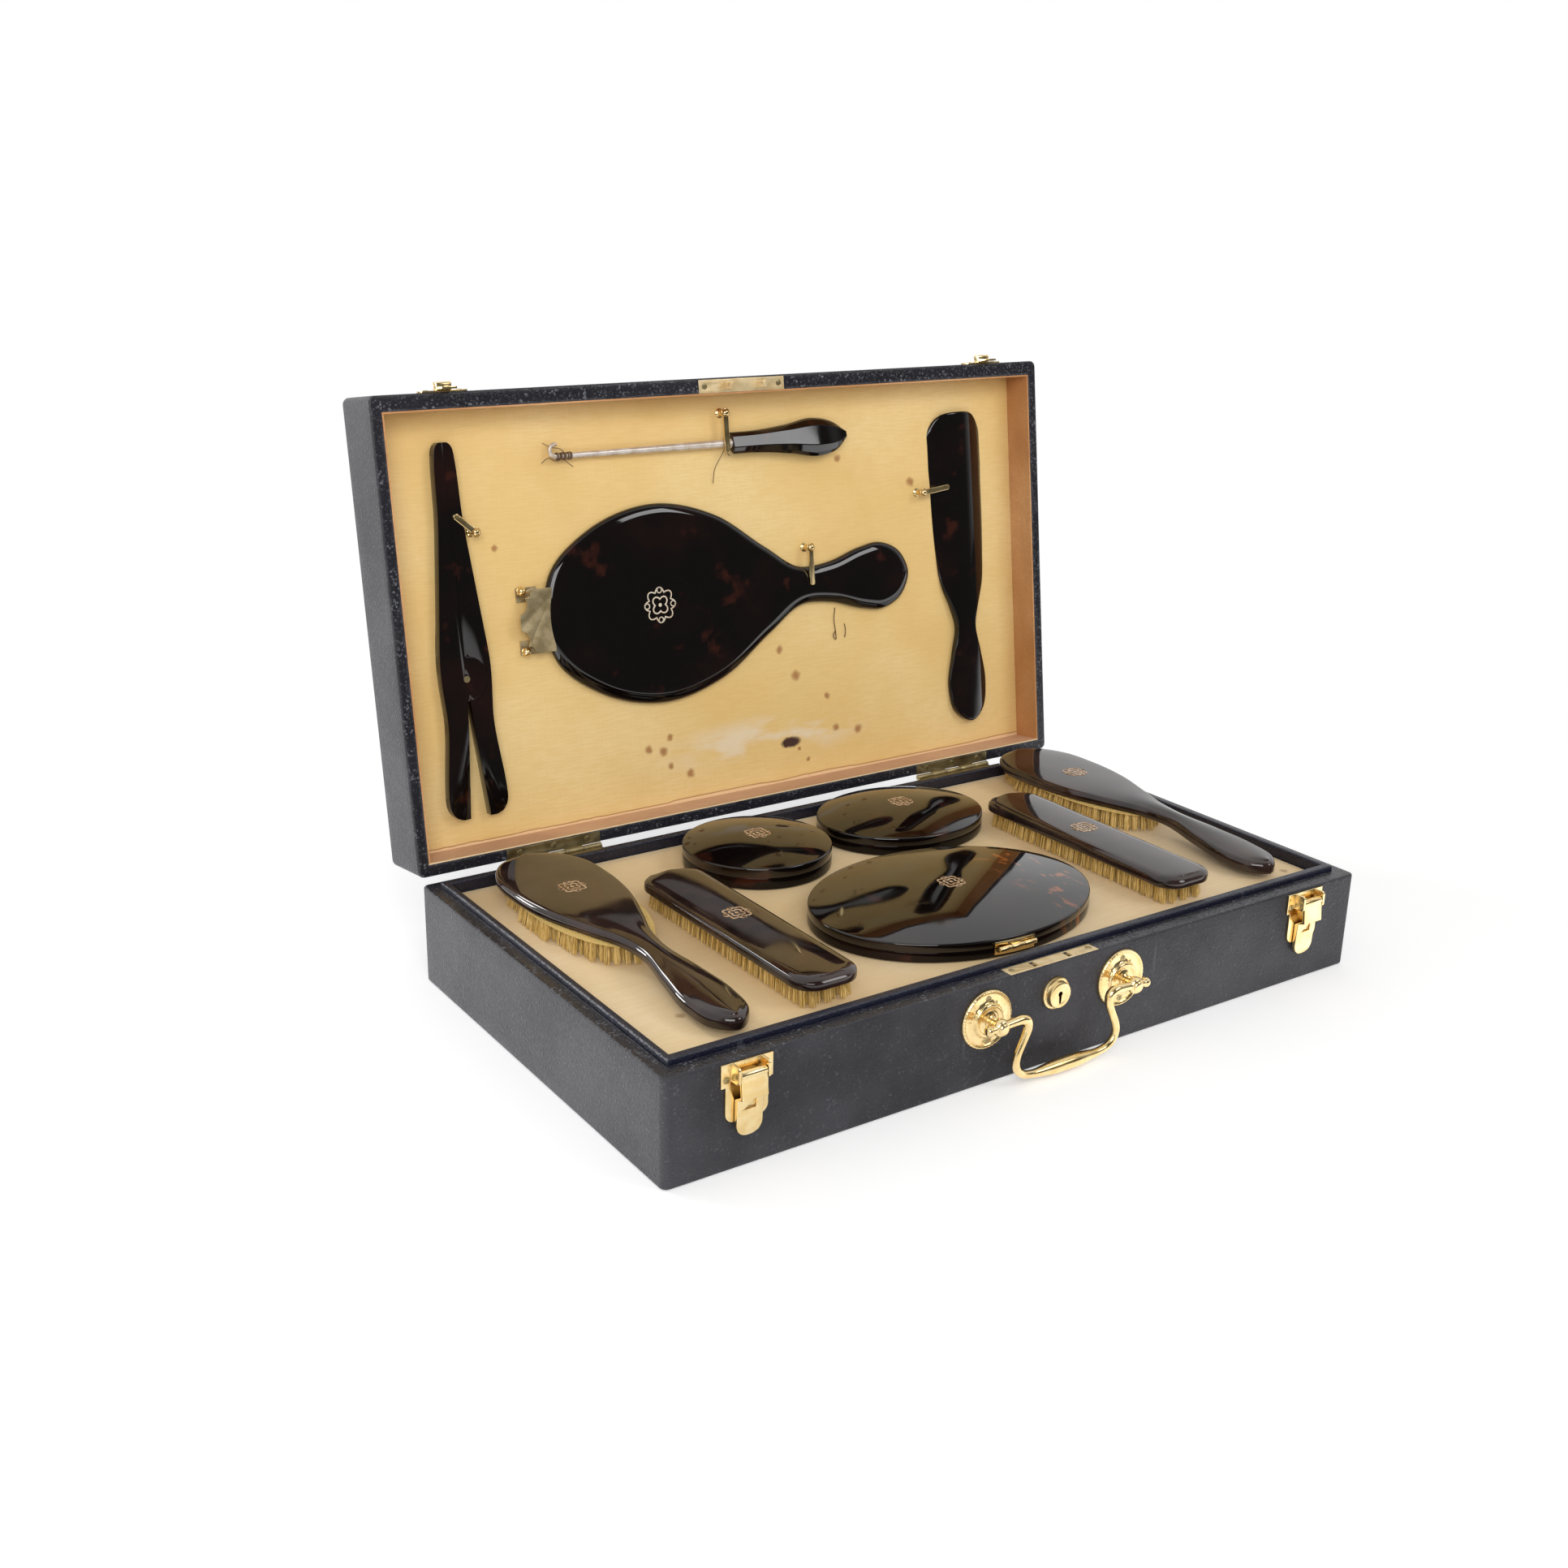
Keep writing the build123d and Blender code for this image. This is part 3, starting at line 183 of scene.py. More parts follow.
def edgeWearAndHighlight(tree, radius, low, high):
    # 1 along convex edges, from how far a rounded normal leans away from the true one
    rounded = add(tree, "Bevel", {"Radius": radius}, samples=4).outputs[0]
    flat = add(tree, "NewGeometry").outputs["Normal"]
    same = add(tree, "VectorMath", {0: rounded, 1: flat}, operation="DOT_PRODUCT").outputs["Value"]
    return between(tree, same, high, low)


def newFinish(slot, **constants):
    material = bpy.data.materials.new(slot)
    material.use_nodes = True
    tree = material.node_tree
    shader = tree.nodes["Principled BSDF"]
    for key, value in constants.items():
        shader.inputs[key.replace("_", " ")].default_value = value
    finishes[slot] = material
    return tree, shader, add(tree, "TexCoord").outputs["Object"]


def bumped(tree, shader, height, strength, distance, under=None):
    inputs = {"Height": height, "Strength": strength, "Distance": distance}
    if under is not None:
        inputs["Normal"] = under
    node = add(tree, "Bump", inputs)
    tree.links.new(node.outputs[0], shader.inputs["Normal"])
    return node.outputs[0]


def feed(tree, shader, socket, value):
    tree.links.new(value, shader.inputs[socket])


# Leather: pebble grain, pale along edges (rubbed wear and a painted highlight), brown where the skin is scuffed
# through, rims painted darker with pale flecks (grain and painted highlights)

# rubbed is the pale tone for scratches and worn edges; it also paints highlights along rounded edges and the flecks on
# the rims
leatherLook = {"deep": rgb(0.012, 0.012, 0.017), "dusty": rgb(0.036, 0.035, 0.042), "rubbed": rgb(0.16, 0.165, 0.185),
               "scuffed": rgb(0.17, 0.075, 0.035), "grain": 560, "scuffHeight": 8.0, "gloss": 0.45, "flecks": 0.25,
               "rimFlecksAndHighlights": 0.9, "rimPolish": 0.28}


def onRims(tree, where):
    # 1 on the rims of base and lid, which face up or out of the lid's mouth
    facing = add(tree, "NewGeometry").outputs["Normal"]
    up = between(tree, add(tree, "SeparateXYZ", {0: facing}).outputs["Z"], 0.85, 0.97)
    mouth = lidPlace.to_3x3() @ Vector((0, 0, 1))
    out = add(tree, "VectorMath", {0: facing, 1: mouth}, operation="DOT_PRODUCT").outputs["Value"]
    behind = between(tree, add(tree, "SeparateXYZ", {0: where}).outputs["Y"], 0.1, 0.11)
    out = maths(tree, "MULTIPLY", between(tree, out, 0.85, 0.97), behind)
    return maths(tree, "MAXIMUM", up, out)


def leatherFinish(slot, look, roughness, edgeRubAndHighlight):
    tree, shader, where = newFinish(slot, IOR=1.5, Specular_IOR_Level=look["gloss"])
    rims = onRims(tree, where)
    dust = cloud(tree, where, 18, 0.35, 0.68, 6.0)
    # rims facing up or out of the lid's mouth lose the dusty tone: a painted shade that keeps them darker
    dust = maths(tree, "MULTIPLY", dust, between(tree, rims, 0.0, 1.0, 1.0, 0.25))
    colour = blendColour(tree, dust, look["deep"], look["dusty"])
    scratches = cloud(tree, where, 90, 0.68, 0.76, 3.0, (1, 1, 0.12))
    colour = blendColour(tree, maths(tree, "MULTIPLY", scratches, 0.25), colour, look["rubbed"])
    cells = add(tree, "TexVoronoi", {"Vector": where, "Scale": look["grain"]}, feature="SMOOTH_F1").outputs[0]
    fine = add(tree, "TexNoise", {"Vector": where, "Scale": look["grain"] * 2.4, "Detail": 3.0}).outputs[0]
    tops = between(tree, cells, 0.42, 0.1)
    flecks = maths(tree, "MULTIPLY", tops, cloud(tree, where, 160, 0.46, 0.66))
    # rims get many more pale flecks: grain specks and painted highlights where the rims face the light
    share = between(tree, rims, 0.0, 1.0, look["flecks"], look["rimFlecksAndHighlights"])
    colour = blendColour(tree, maths(tree, "MULTIPLY", flecks, share), colour, look["rubbed"])
    # pale along convex edges: partly rubbed wear, partly a painted highlight on the rounded edges
    edge = maths(tree, "MULTIPLY", edgeWearAndHighlight(tree, 0.0022, 0.72, 0.96), cloud(tree, where, 110, 0.32, 0.56))
    colour = blendColour(tree, maths(tree, "MULTIPLY", edge, edgeRubAndHighlight), colour, look["rubbed"])
    height = add(tree, "SeparateXYZ", {0: where}).outputs["Z"]
    low = between(tree, height, look["scuffHeight"] * mm, 0.0)
    scuffs = maths(tree, "MULTIPLY", maths(tree, "MULTIPLY", low, edge), cloud(tree, where, 45, 0.5, 0.58))
    colour = blendColour(tree, scuffs, colour, look["scuffed"])
    feed(tree, shader, "Base Color", colour)
    rough = between(tree, fine, 0.3, 0.7, roughness - 0.08, roughness + 0.1)
    feed(tree, shader, "Roughness", maths(tree, "SUBTRACT", rough, maths(tree, "MULTIPLY", rims, look["rimPolish"])))
    first = bumped(tree, shader, tops, 0.7, 0.0003)
    bumped(tree, shader, fine, 0.3, 0.0001, first)


leatherFinish("navy_leather", leatherLook, 0.57, 0.8)
lipLook = dict(leatherLook, deep=rgb(0.004, 0.005, 0.016), dusty=rgb(0.008, 0.010, 0.026), grain=900, gloss=0.5,
               flecks=0.1, rimFlecksAndHighlights=0.1, rimPolish=0.0)
leatherFinish("lip_leather", lipLook, 0.34, 0.35)

# Silks: slubbed weave, broad fading, and stains given as places on the cloth (across, along, radius)

silkLooks = {
    "gold_silk": {"main": rgb(0.80, 0.545, 0.205), "pale": rgb(0.85, 0.63, 0.29), "deep": rgb(0.72, 0.455, 0.145),
                  "stain": rgb(0.36, 0.14, 0.035), "inLid": True, "hem": 2.4,
                  "stains": [(84.7, 215.7, 3.0), (143.8, 196.1, 3.6), (42.0, 77.6, 4.0), (30.4, 96.1, 3.2), (66.2, 60.5, 2.6),
                             (-56.6, 51.4, 2.6), (-72.1, 45.9, 3.0), (-61.7, 43.0, 3.2), (-57.0, 32.9, 2.5),
                             (-43.2, 26.0, 3.5), (72.2, 38.2, 3.0), (90.5, 34.5, 3.6), (48.3, 20.5, 2.0),
                             (41.7, 28.4, 1.8), (-164.4, 180.9, 2.2)],
                  "burn": (35.3, 33.7, 7.0), "patch": (16.0, 39.0, 84.0, 17.0), "floor": None},
    "cream_silk": {"main": rgb(0.83, 0.61, 0.32), "pale": rgb(0.89, 0.70, 0.43), "deep": rgb(0.76, 0.51, 0.24),
                   "stain": rgb(0.45, 0.28, 0.12), "inLid": False, "hem": None,
                   "stains": [(-196.0, -78.0, 3.0), (-64.0, -112.0, 2.4), (214.0, -104.0, 3.0)], "burn": None, "patch": None,
                   "floor": None},
    "tan_silk": {"main": rgb(0.50, 0.225, 0.07), "pale": rgb(0.66, 0.36, 0.16), "deep": rgb(0.36, 0.13, 0.035),
                 "stain": rgb(0.2, 0.07, 0.03), "inLid": True, "hem": None, "stains": [], "burn": None, "patch": None,
                 "floor": rgb(0.93, 0.70, 0.41)},
}


hemFrom = boxIn("lid_board", lidPlace)[0].y * mm


def silkFinish(slot, look):
    tree, shader, where = newFinish(slot, Roughness=0.62, Sheen_Weight=0.25, Sheen_Roughness=0.4)
    if look["inLid"]:
        own = {"Location": lidPlace.translation, "Rotation": lidPlace.to_euler()}
        where = add(tree, "Mapping", {0: where, **own}, vector_type="TEXTURE").outputs[0]
    broad = cloud(tree, where, 9, 0.35, 0.68)
    colour = blendColour(tree, broad, look["main"], look["pale"])
    colour = blendColour(tree, maths(tree, "MULTIPLY", cloud(tree, where, 15, 0.5, 0.78), 0.45), colour, look["deep"])
    slub = add(tree, "TexNoise", {"Vector": add(tree, "Mapping", {0: where, "Scale": (0.12, 1.6, 1.6)}).outputs[0],
                                  "Scale": 700, "Detail": 2.0}).outputs[0]
    cross = add(tree, "TexNoise", {"Vector": add(tree, "Mapping", {0: where, "Scale": (1.6, 0.12, 1.6)}).outputs[0],
                                   "Scale": 700, "Detail": 2.0}).outputs[0]
    weave = maths(tree, "ADD", maths(tree, "MULTIPLY", slub, 0.75), maths(tree, "MULTIPLY", cross, 0.25))
    colour = blendColour(tree, between(tree, weave, 0.62, 0.38, 0.0, 0.3), colour, look["deep"])
    if look["hem"]:
        up = add(tree, "SeparateXYZ", {0: where}).outputs["Y"]
        waves = add(tree, "TexNoise", {"Vector": where, "Scale": 24, "Detail": 4.0}).outputs[0]
        fold = hemFrom + look["hem"] * mm
        over = maths(tree, "SUBTRACT", up, maths(tree, "MULTIPLY", between(tree, waves, 0.35, 0.65, -1.0, 1.0), 0.0009))
        colour = blendColour(tree, between(tree, over, fold, fold - 0.3 * mm, 0.0, 0.8), colour, rgb(0.88, 0.62, 0.36))
        line = maths(tree, "MULTIPLY", between(tree, over, fold + 0.7 * mm, fold + 0.3 * mm), between(tree, over, fold - 0.5 * mm, fold))
        colour = blendColour(tree, maths(tree, "MULTIPLY", line, 0.75), colour, rgb(0.36, 0.15, 0.05))
    # the tan lining's lower wall, which faces up, is painted paler than the side walls: painted light
    if look["floor"]:
        up = add(tree, "SeparateXYZ", {0: where}).outputs["Y"]
        colour = blendColour(tree, between(tree, up, hemFrom + 1.0 * mm, hemFrom + 0.4 * mm), colour, look["floor"])
    if look["patch"]:
        x, y, half, tall = look["patch"]
        shift = {0: where, "Location": (x * mm, y * mm, 0), "Scale": (half * mm, tall * mm, 1)}
        near = add(tree, "Mapping", shift, vector_type="TEXTURE").outputs[0]
        flat = add(tree, "VectorMath", {0: near, 1: (1, 1, 0)}, operation="MULTIPLY").outputs[0]
        reach = add(tree, "VectorMath", {0: flat}, operation="LENGTH").outputs["Value"]
        worn = maths(tree, "MULTIPLY", between(tree, reach, 1.15, 0.35), cloud(tree, where, 70, 0.42, 0.6, 6.0, (0.35, 1, 1)))
        colour = blendColour(tree, maths(tree, "MULTIPLY", worn, 0.6), colour, rgb(0.84, 0.73, 0.58))
    ragged = add(tree, "TexNoise", {"Vector": where, "Scale": 260, "Detail": 3.0}).outputs[1]
    lean = add(tree, "VectorMath", {0: ragged, 1: (0.5, 0.5, 0.5)}, operation="SUBTRACT").outputs[0]
    lean = add(tree, "VectorMath", {0: lean, "Scale": 0.0028}, operation="SCALE").outputs[0]
    uneven = add(tree, "VectorMath", {0: where, 1: lean}, operation="ADD").outputs[0]
    flat = add(tree, "VectorMath", {0: uneven, 1: (1, 1, 0)}, operation="MULTIPLY").outputs[0]
    for x, y, radius in look["stains"]:
        away = add(tree, "VectorMath", {0: flat, 1: (x * mm, y * mm, 0)}, operation="DISTANCE").outputs["Value"]
        mask = between(tree, away, radius * 1.2 * mm, radius * 0.3 * mm, 0.0, 0.85)
        colour = blendColour(tree, mask, colour, look["stain"])
    if look["burn"]:
        x, y, radius = look["burn"]
        wide = add(tree, "VectorMath", {0: flat, 1: (0.45, 1, 1)}, operation="MULTIPLY").outputs[0]
        spot = (x * 0.45 * mm, y * mm, 0)
        away = add(tree, "VectorMath", {0: wide, 1: spot}, operation="DISTANCE").outputs["Value"]
        colour = blendColour(tree, between(tree, away, radius * 0.6 * mm, radius * 0.35 * mm), colour, rgb(0.06, 0.02, 0.012))
    feed(tree, shader, "Base Color", colour)
    first = bumped(tree, shader, weave, 0.22, 0.0001)
    bumped(tree, shader, cloud(tree, where, 22, 0.2, 0.8), 0.18, 0.0006, first)


for silkSlot, silkLook in silkLooks.items():
    silkFinish(silkSlot, silkLook)

# Shell: almost black, with red-brown and amber clouds under a hard polish

shellLook = {"dark": rgb(0.003, 0.0018, 0.0015), "brown": rgb(0.012, 0.004, 0.003), "red": rgb(0.065, 0.015, 0.008),
             "amber": rgb(0.50, 0.14, 0.028)}


def shellFinish(name="tortoiseshell", hazeAndSheen=0.0, gloss=0.5):
    tree, shader, where = newFinish(name, IOR=1.56, Specular_IOR_Level=gloss)
    colour = blendColour(tree, cloud(tree, where, 20, 0.45, 0.8, 6.0), shellLook["dark"], shellLook["brown"])
    blotches = cloud(tree, where, 62, 0.60, 0.72, 5.0, (1.0, 0.6, 1.0))
    colour = blendColour(tree, maths(tree, "MULTIPLY", blotches, 0.45), colour, shellLook["red"])
    area = add(tree, "SeparateXYZ", {0: where}).outputs["X"]
    rightSide = between(tree, area, 0.02, 0.07)
    depth = add(tree, "SeparateXYZ", {0: where}).outputs["Y"]
    rightSide = maths(tree, "MULTIPLY", rightSide, between(tree, area, 0.1, 0.075))
    rightSide = maths(tree, "MULTIPLY", rightSide, between(tree, depth, 0.0, -0.02))
    amber = maths(tree, "MULTIPLY", cloud(tree, where, 90, 0.56, 0.66, 6.0, (1.5, 0.8, 1.0)), rightSide)
    colour = blendColour(tree, maths(tree, "MULTIPLY", amber, 0.75), colour, shellLook["amber"])
    # brownish haze in clouds: partly dust on the polish, partly a painted sheen standing in for a blurred reflection
    hazeAndSheenMask = maths(tree, "MULTIPLY", cloud(tree, where, 50, 0.2, 0.7, 6.0), hazeAndSheen)
    colour = blendColour(tree, hazeAndSheenMask, colour, rgb(0.13, 0.07, 0.055))
    feed(tree, shader, "Base Color", colour)
    smear = add(tree, "TexNoise", {"Vector": where, "Scale": 34, "Detail": 5.0}).outputs[0]
    feed(tree, shader, "Roughness", between(tree, smear, 0.35, 0.75, 0.035, 0.10))
    bumped(tree, shader, add(tree, "TexNoise", {"Vector": where, "Scale": 30, "Detail": 1.0}).outputs[0], 0.12, 0.0012)


shellFinish()
shellFinish("hazeAndSheenShell", 0.26)
shellFinish("boxWall", 0.0, 0.2)

# Metals

metalLooks = {
    "brass": {"main": rgb(0.82, 0.60, 0.27), "pale": rgb(0.90, 0.71, 0.38), "dull": rgb(0.34, 0.19, 0.055),
              "roughness": (0.16, 0.28), "crevice": 0.75, "specks": 0.12, "metal": 1.0},
    "satinBrass": {"main": rgb(0.70, 0.51, 0.25), "pale": rgb(0.82, 0.65, 0.38), "dull": rgb(0.30, 0.17, 0.06),
                   "roughness": (0.32, 0.46), "crevice": 0.35, "specks": 0.15, "metal": 0.45},
    "bracketBrass": {"main": rgb(0.40, 0.31, 0.16), "pale": rgb(0.62, 0.50, 0.29), "dull": rgb(0.20, 0.12, 0.05),
                     "roughness": (0.26, 0.42), "crevice": 0.5, "specks": 0.3, "metal": 0.75},
    "aged_brass": {"main": rgb(0.36, 0.29, 0.15), "pale": rgb(0.47, 0.38, 0.20), "dull": rgb(0.20, 0.16, 0.08),
                   "roughness": (0.34, 0.5), "crevice": 0.4, "specks": 0.12, "metal": 1.0},
    "steel": {"main": rgb(0.66, 0.57, 0.48), "pale": rgb(0.86, 0.80, 0.74), "dull": rgb(0.16, 0.09, 0.06),
              "roughness": (0.3, 0.5), "crevice": 0.5, "specks": 0.25, "metal": 0.6},
}


def metalFinish(slot, look):
    tree, shader, where = newFinish(slot, Metallic=look["metal"])
    colour = blendColour(tree, cloud(tree, where, 150, 0.35, 0.65, 5.0), look["main"], look["pale"])
    inside = add(tree, "AmbientOcclusion", {"Distance": 0.003}, samples=6).outputs["AO"]
    dirt = maths(tree, "MULTIPLY", between(tree, inside, 0.8, 0.25), look["crevice"])
    specks = maths(tree, "MULTIPLY", cloud(tree, where, 300, 0.58, 0.75, 6.0), look["specks"])
    colour = blendColour(tree, maths(tree, "MAXIMUM", dirt, specks), colour, look["dull"])
    feed(tree, shader, "Base Color", colour)
    smear = add(tree, "TexNoise", {"Vector": where, "Scale": 90, "Detail": 5.0}).outputs[0]
    feed(tree, shader, "Roughness", between(tree, smear, 0.3, 0.7, *look["roughness"]))
    bumped(tree, shader, add(tree, "TexNoise", {"Vector": where, "Scale": 420, "Detail": 3.0}).outputs[0], 0.07, 0.0001)


for metalSlot, metalLook in metalLooks.items():
    metalFinish(metalSlot, metalLook)


def glassFinish():
    tree, shader, where = newFinish("silvered_glass", Metallic=1.0)
    spots = cloud(tree, where, 110, 0.66, 0.74, 5.0)
    feed(tree, shader, "Base Color", blendColour(tree, spots, rgb(0.86, 0.88, 0.89), rgb(0.3, 0.27, 0.24)))
    feed(tree, shader, "Roughness", between(tree, spots, 0.0, 1.0, 0.02, 0.3))


def woodFinish():
    tree, shader, where = newFinish("wood", Roughness=0.6)
    rings = add(tree, "TexNoise", {"Vector": add(tree, "Mapping", {0: where, "Scale": (0.08, 1, 1)}).outputs[0],
                                   "Scale": 160, "Detail": 6.0}).outputs[0]
    colour = blendColour(tree, between(tree, rings, 0.3, 0.7), rgb(0.30, 0.17, 0.08), rgb(0.46, 0.30, 0.16))
    feed(tree, shader, "Base Color", colour)
    bumped(tree, shader, rings, 0.3, 0.0002)


def bristleFinish():
    tree, shader, where = newFinish("bristle", Roughness=0.42, Subsurface_Weight=0.0)
    strand = add(tree, "TexNoise", {"Vector": add(tree, "Mapping", {0: where, "Scale": (1, 1, 0.05)}).outputs[0],
                                    "Scale": 1500, "Detail": 1.0}).outputs[0]
    colour = blendColour(tree, between(tree, strand, 0.35, 0.65), rgb(0.56, 0.36, 0.09), rgb(0.84, 0.62, 0.24))
    feed(tree, shader, "Base Color", colour)


inlayLooks = {"inlayGold": (rgb(0.50, 0.30, 0.16), rgb(0.82, 0.58, 0.36)), "paleInlay": (rgb(0.72, 0.57, 0.40), rgb(0.93, 0.83, 0.67))}


def inlayFinish(name, look):
    tree, shader, where = newFinish(name, Metallic=0.35)
    tone = cloud(tree, where, 240, 0.35, 0.65)
    feed(tree, shader, "Base Color", blendColour(tree, tone, *look))
    feed(tree, shader, "Roughness", between(tree, tone, 0.0, 1.0, 0.5, 0.34))


def threadFinish():
    tree, shader, where = newFinish("thread", Roughness=0.8)
    twist = add(tree, "TexNoise", {"Vector": where, "Scale": 2600, "Detail": 2.0}).outputs[0]
    feed(tree, shader, "Base Color", blendColour(tree, twist, rgb(0.05, 0.025, 0.012), rgb(0.22, 0.12, 0.06)))


glassFinish()
woodFinish()
bristleFinish()
for inlayName, inlayLook in inlayLooks.items():
    inlayFinish(inlayName, inlayLook)
threadFinish()
for nodeName, node in frame["nodes"].items():
    node.data.materials.clear()
    node.data.materials.append(finishes[slotOfNode[nodeName]])
print("dressing box: finishes made")


# Making a piece out of points and faces

def dress(mesh, name, body, finish, stands=(), crease=35.0):
    mesh.polygons.foreach_set("use_smooth", [True] * len(mesh.polygons))
    mesh.set_sharp_from_angle(angle=math.radians(crease))
    mesh.materials.clear()
    mesh.materials.append(finishes[finish])
    piece = bpy.data.objects.new(name, mesh)
    scene.collection.objects.link(piece)
    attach(piece, body)
    if stands:
        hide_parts(*stands)
    return piece


def meshOf(shapes, place=basePlace):
    points, faces = [], []
    for shapePoints, shapeFaces in shapes:
        start = len(points)
        points += [tuple(p) for p in shapePoints]
        faces += [[start + i for i in face] for face in shapeFaces]
    mesh = bpy.data.meshes.new("shape")
    mesh.from_pydata(points, [], faces)
    work = bmesh.new()
    work.from_mesh(mesh)
    bmesh.ops.remove_doubles(work, verts=work.verts, dist=0.0005)
    bmesh.ops.recalc_face_normals(work, faces=work.faces)
    work.to_mesh(mesh)
    work.free()
    mesh.transform(place @ Matrix.Scale(mm, 4))
    return mesh


def makePiece(name, body, finish, shapes, place=basePlace, stands=(), crease=35.0):
    return dress(meshOf(shapes, place), name, body, finish, stands, crease)


def moved(shape, x=0.0, y=0.0, z=0.0, turn=None):
    points = [turn @ Vector(p) for p in shape[0]] if turn is not None else shape[0]
    return [Vector(p) + Vector((x, y, z)) for p in points], shape[1]


def softenedCopy(node, name, width, steps=3, sharp=28.0, finish=None):
    # the construction's own shape with its edges rubbed round
    mesh = frame["nodes"][node].data.copy()
    work = bmesh.new()
    work.from_mesh(mesh)
    bmesh.ops.remove_doubles(work, verts=work.verts, dist=1e-6)
    bmesh.ops.dissolve_limit(work, angle_limit=math.radians(1), verts=work.verts, edges=work.edges)
    edges = [e for e in work.edges if len(e.link_faces) == 2 and e.calc_face_angle(0) > math.radians(sharp)]
    bmesh.ops.bevel(work, geom=edges, offset=width * mm, offset_type="OFFSET", segments=steps, profile=0.5,
                    affect="EDGES", clamp_overlap=True)
    work.to_mesh(mesh)
    work.free()
    return dress(mesh, name, bodyOfNode[node], finish or slotOfNode[node], (node,))


def combined(mesh, tool, operation):
    # boolean of two meshes; both are used up
    first = bpy.data.objects.new("first", mesh)
    second = bpy.data.objects.new("second", tool)
    for thing in (first, second):
        scene.collection.objects.link(thing)
    cut = first.modifiers.new("cut", "BOOLEAN")
    cut.operation = operation
    cut.object = second
    cut.solver = "EXACT"
    graph = bpy.context.evaluated_depsgraph_get()
    made = bpy.data.meshes.new_from_object(first.evaluated_get(graph))
    bpy.data.objects.remove(first)
    bpy.data.objects.remove(second)
    return made


# Smooth line through given points. before and after are where it would go on.

def smoothLine(points, spacing, before=None, after=None):
    points = [Vector(p) for p in points]
    before = Vector(before) if before is not None else points[0] * 2 - points[1]
    after = Vector(after) if after is not None else points[-1] * 2 - points[-2]
    ends = [before, *points, after]
    line = [points[0]]
    for a, b, c, d in zip(ends, ends[1:], ends[2:], ends[3:]):
        ab, bc, cd = (b - a).length, (c - b).length, (d - c).length
        out = ((b - a) * bc / ab + (c - b) * ab / bc) / (ab + bc) * bc
        into = ((c - b) * cd / bc + (d - c) * bc / cd) / (bc + cd) * bc
        count = max(2, round(bc / spacing))
        for k in range(1, count + 1):
            t = k / count
            near = 2 * t ** 3 - 3 * t ** 2 + 1
            line.append(b * near + out * (t ** 3 - 2 * t ** 2 + t) + c * (1 - near) + into * (t ** 3 - t ** 2))
    return line


def halfLine(outline, spacing=3.0):
    # one side of a shape that is the same on both sides of its middle line
    second, last = outline[1], outline[-2]
    return smoothLine(outline, spacing, (second[0], -second[1]), (last[0], -last[1]))


def bothSides(half):
    return [*half, *[Vector((p.x, -p.y)) for p in reversed(half[1:-1])]]


def insetRing(ring, amount):
    made = []
    for i, p in enumerate(ring):
        along = (ring[(i + 1) % len(ring)] - ring[i - 1]).normalized()
        made.append(p + Vector((along.y, -along.x)) * amount)
    return made


def arcSteps(radius, count=5):
    # (inset, height) from the flat face round to the side
    turns = [math.radians(90 * k / count) for k in range(count + 1)]
    return [(radius * (1 - math.sin(a)), radius * (1 - math.cos(a))) for a in turns]


def slab(half, under, over, lowEdge, topEdge, across=8, crown=0.0):
    # half: line along one side. under and over: height at (along, across). Edges: (inset, height) steps from the face
    outline = bothSides(half)
    signed = sum(a.x * b.y - b.x * a.y for a, b in zip(outline, outline[1:] + outline[:1]))
    way = -1 if signed > 0 else 1
    rings = []
    for inset, height in lowEdge:
        rings.append([(p.x, p.y, under(p.x, p.y) + height) for p in insetRing(outline, way * inset)])
    for inset, height in reversed(topEdge):
        rings.append([(p.x, p.y, over(p.x, p.y) - height) for p in insetRing(outline, way * inset)])
    count = len(outline)
    points = [p for ring in rings for p in ring]
    faces = []
    for level in range(len(rings) - 1):
        for i in range(count):
            a, b = level * count + i, level * count + (i + 1) % count
            faces.append((a, b, b + count, a + count))
    last = len(half) - 1
    for level, surface, bulge in ((0, under, 0.0), (len(rings) - 1, over, crown)):
        start = level * count
        ring = rings[level]
        rows = [[start]]
        drop = ring[0][2] - surface(ring[0][0], ring[0][1])
        for i in range(1, last):
            a, b = Vector(ring[i]), Vector(ring[count - i])
            row = [start + i]
            for k in range(1, across):
                p = a.lerp(b, k / across)
                share = 2 * k / across - 1
                points.append((p.x, p.y, surface(p.x, p.y) + drop + bulge * (1 - share ** 2)))
                row.append(len(points) - 1)
            rows.append([*row, start + count - i])
        rows.append([start + last])
        for one, two in zip(rows, rows[1:]):
            if len(one) == 1:
                faces += [(one[0], two[k], two[k + 1]) for k in range(across)]
            elif len(two) == 1:
                faces += [(one[k], two[0], one[k + 1]) for k in range(across)]
            else:
                faces += [(one[k], two[k], two[k + 1], one[k + 1]) for k in range(across)]
    return points, faces


def lathe(profile, count=48, ripple=None):
    # profile: (radius, height) from axis to axis, or a closed loop that stays off the axis
    points, faces, rows = [], [], []
    for radius, height in profile:
        if radius < 1e-6:
            points.append(Vector((0, 0, height)))
            rows.append([len(points) - 1] * count)
            continue
        row = []
        for k in range(count):
            a = 2 * math.pi * k / count
            lift = ripple(radius, a) if ripple else 0.0
            points.append(Vector((radius * math.cos(a), radius * math.sin(a), height + lift)))
            row.append(len(points) - 1)
        rows.append(row)
    for low, high in zip(rows, rows[1:]):
        for k in range(count):
            face = [low[k], low[(k + 1) % count], high[(k + 1) % count], high[k]]
            faces.append(list(dict.fromkeys(face)))
    return points, faces


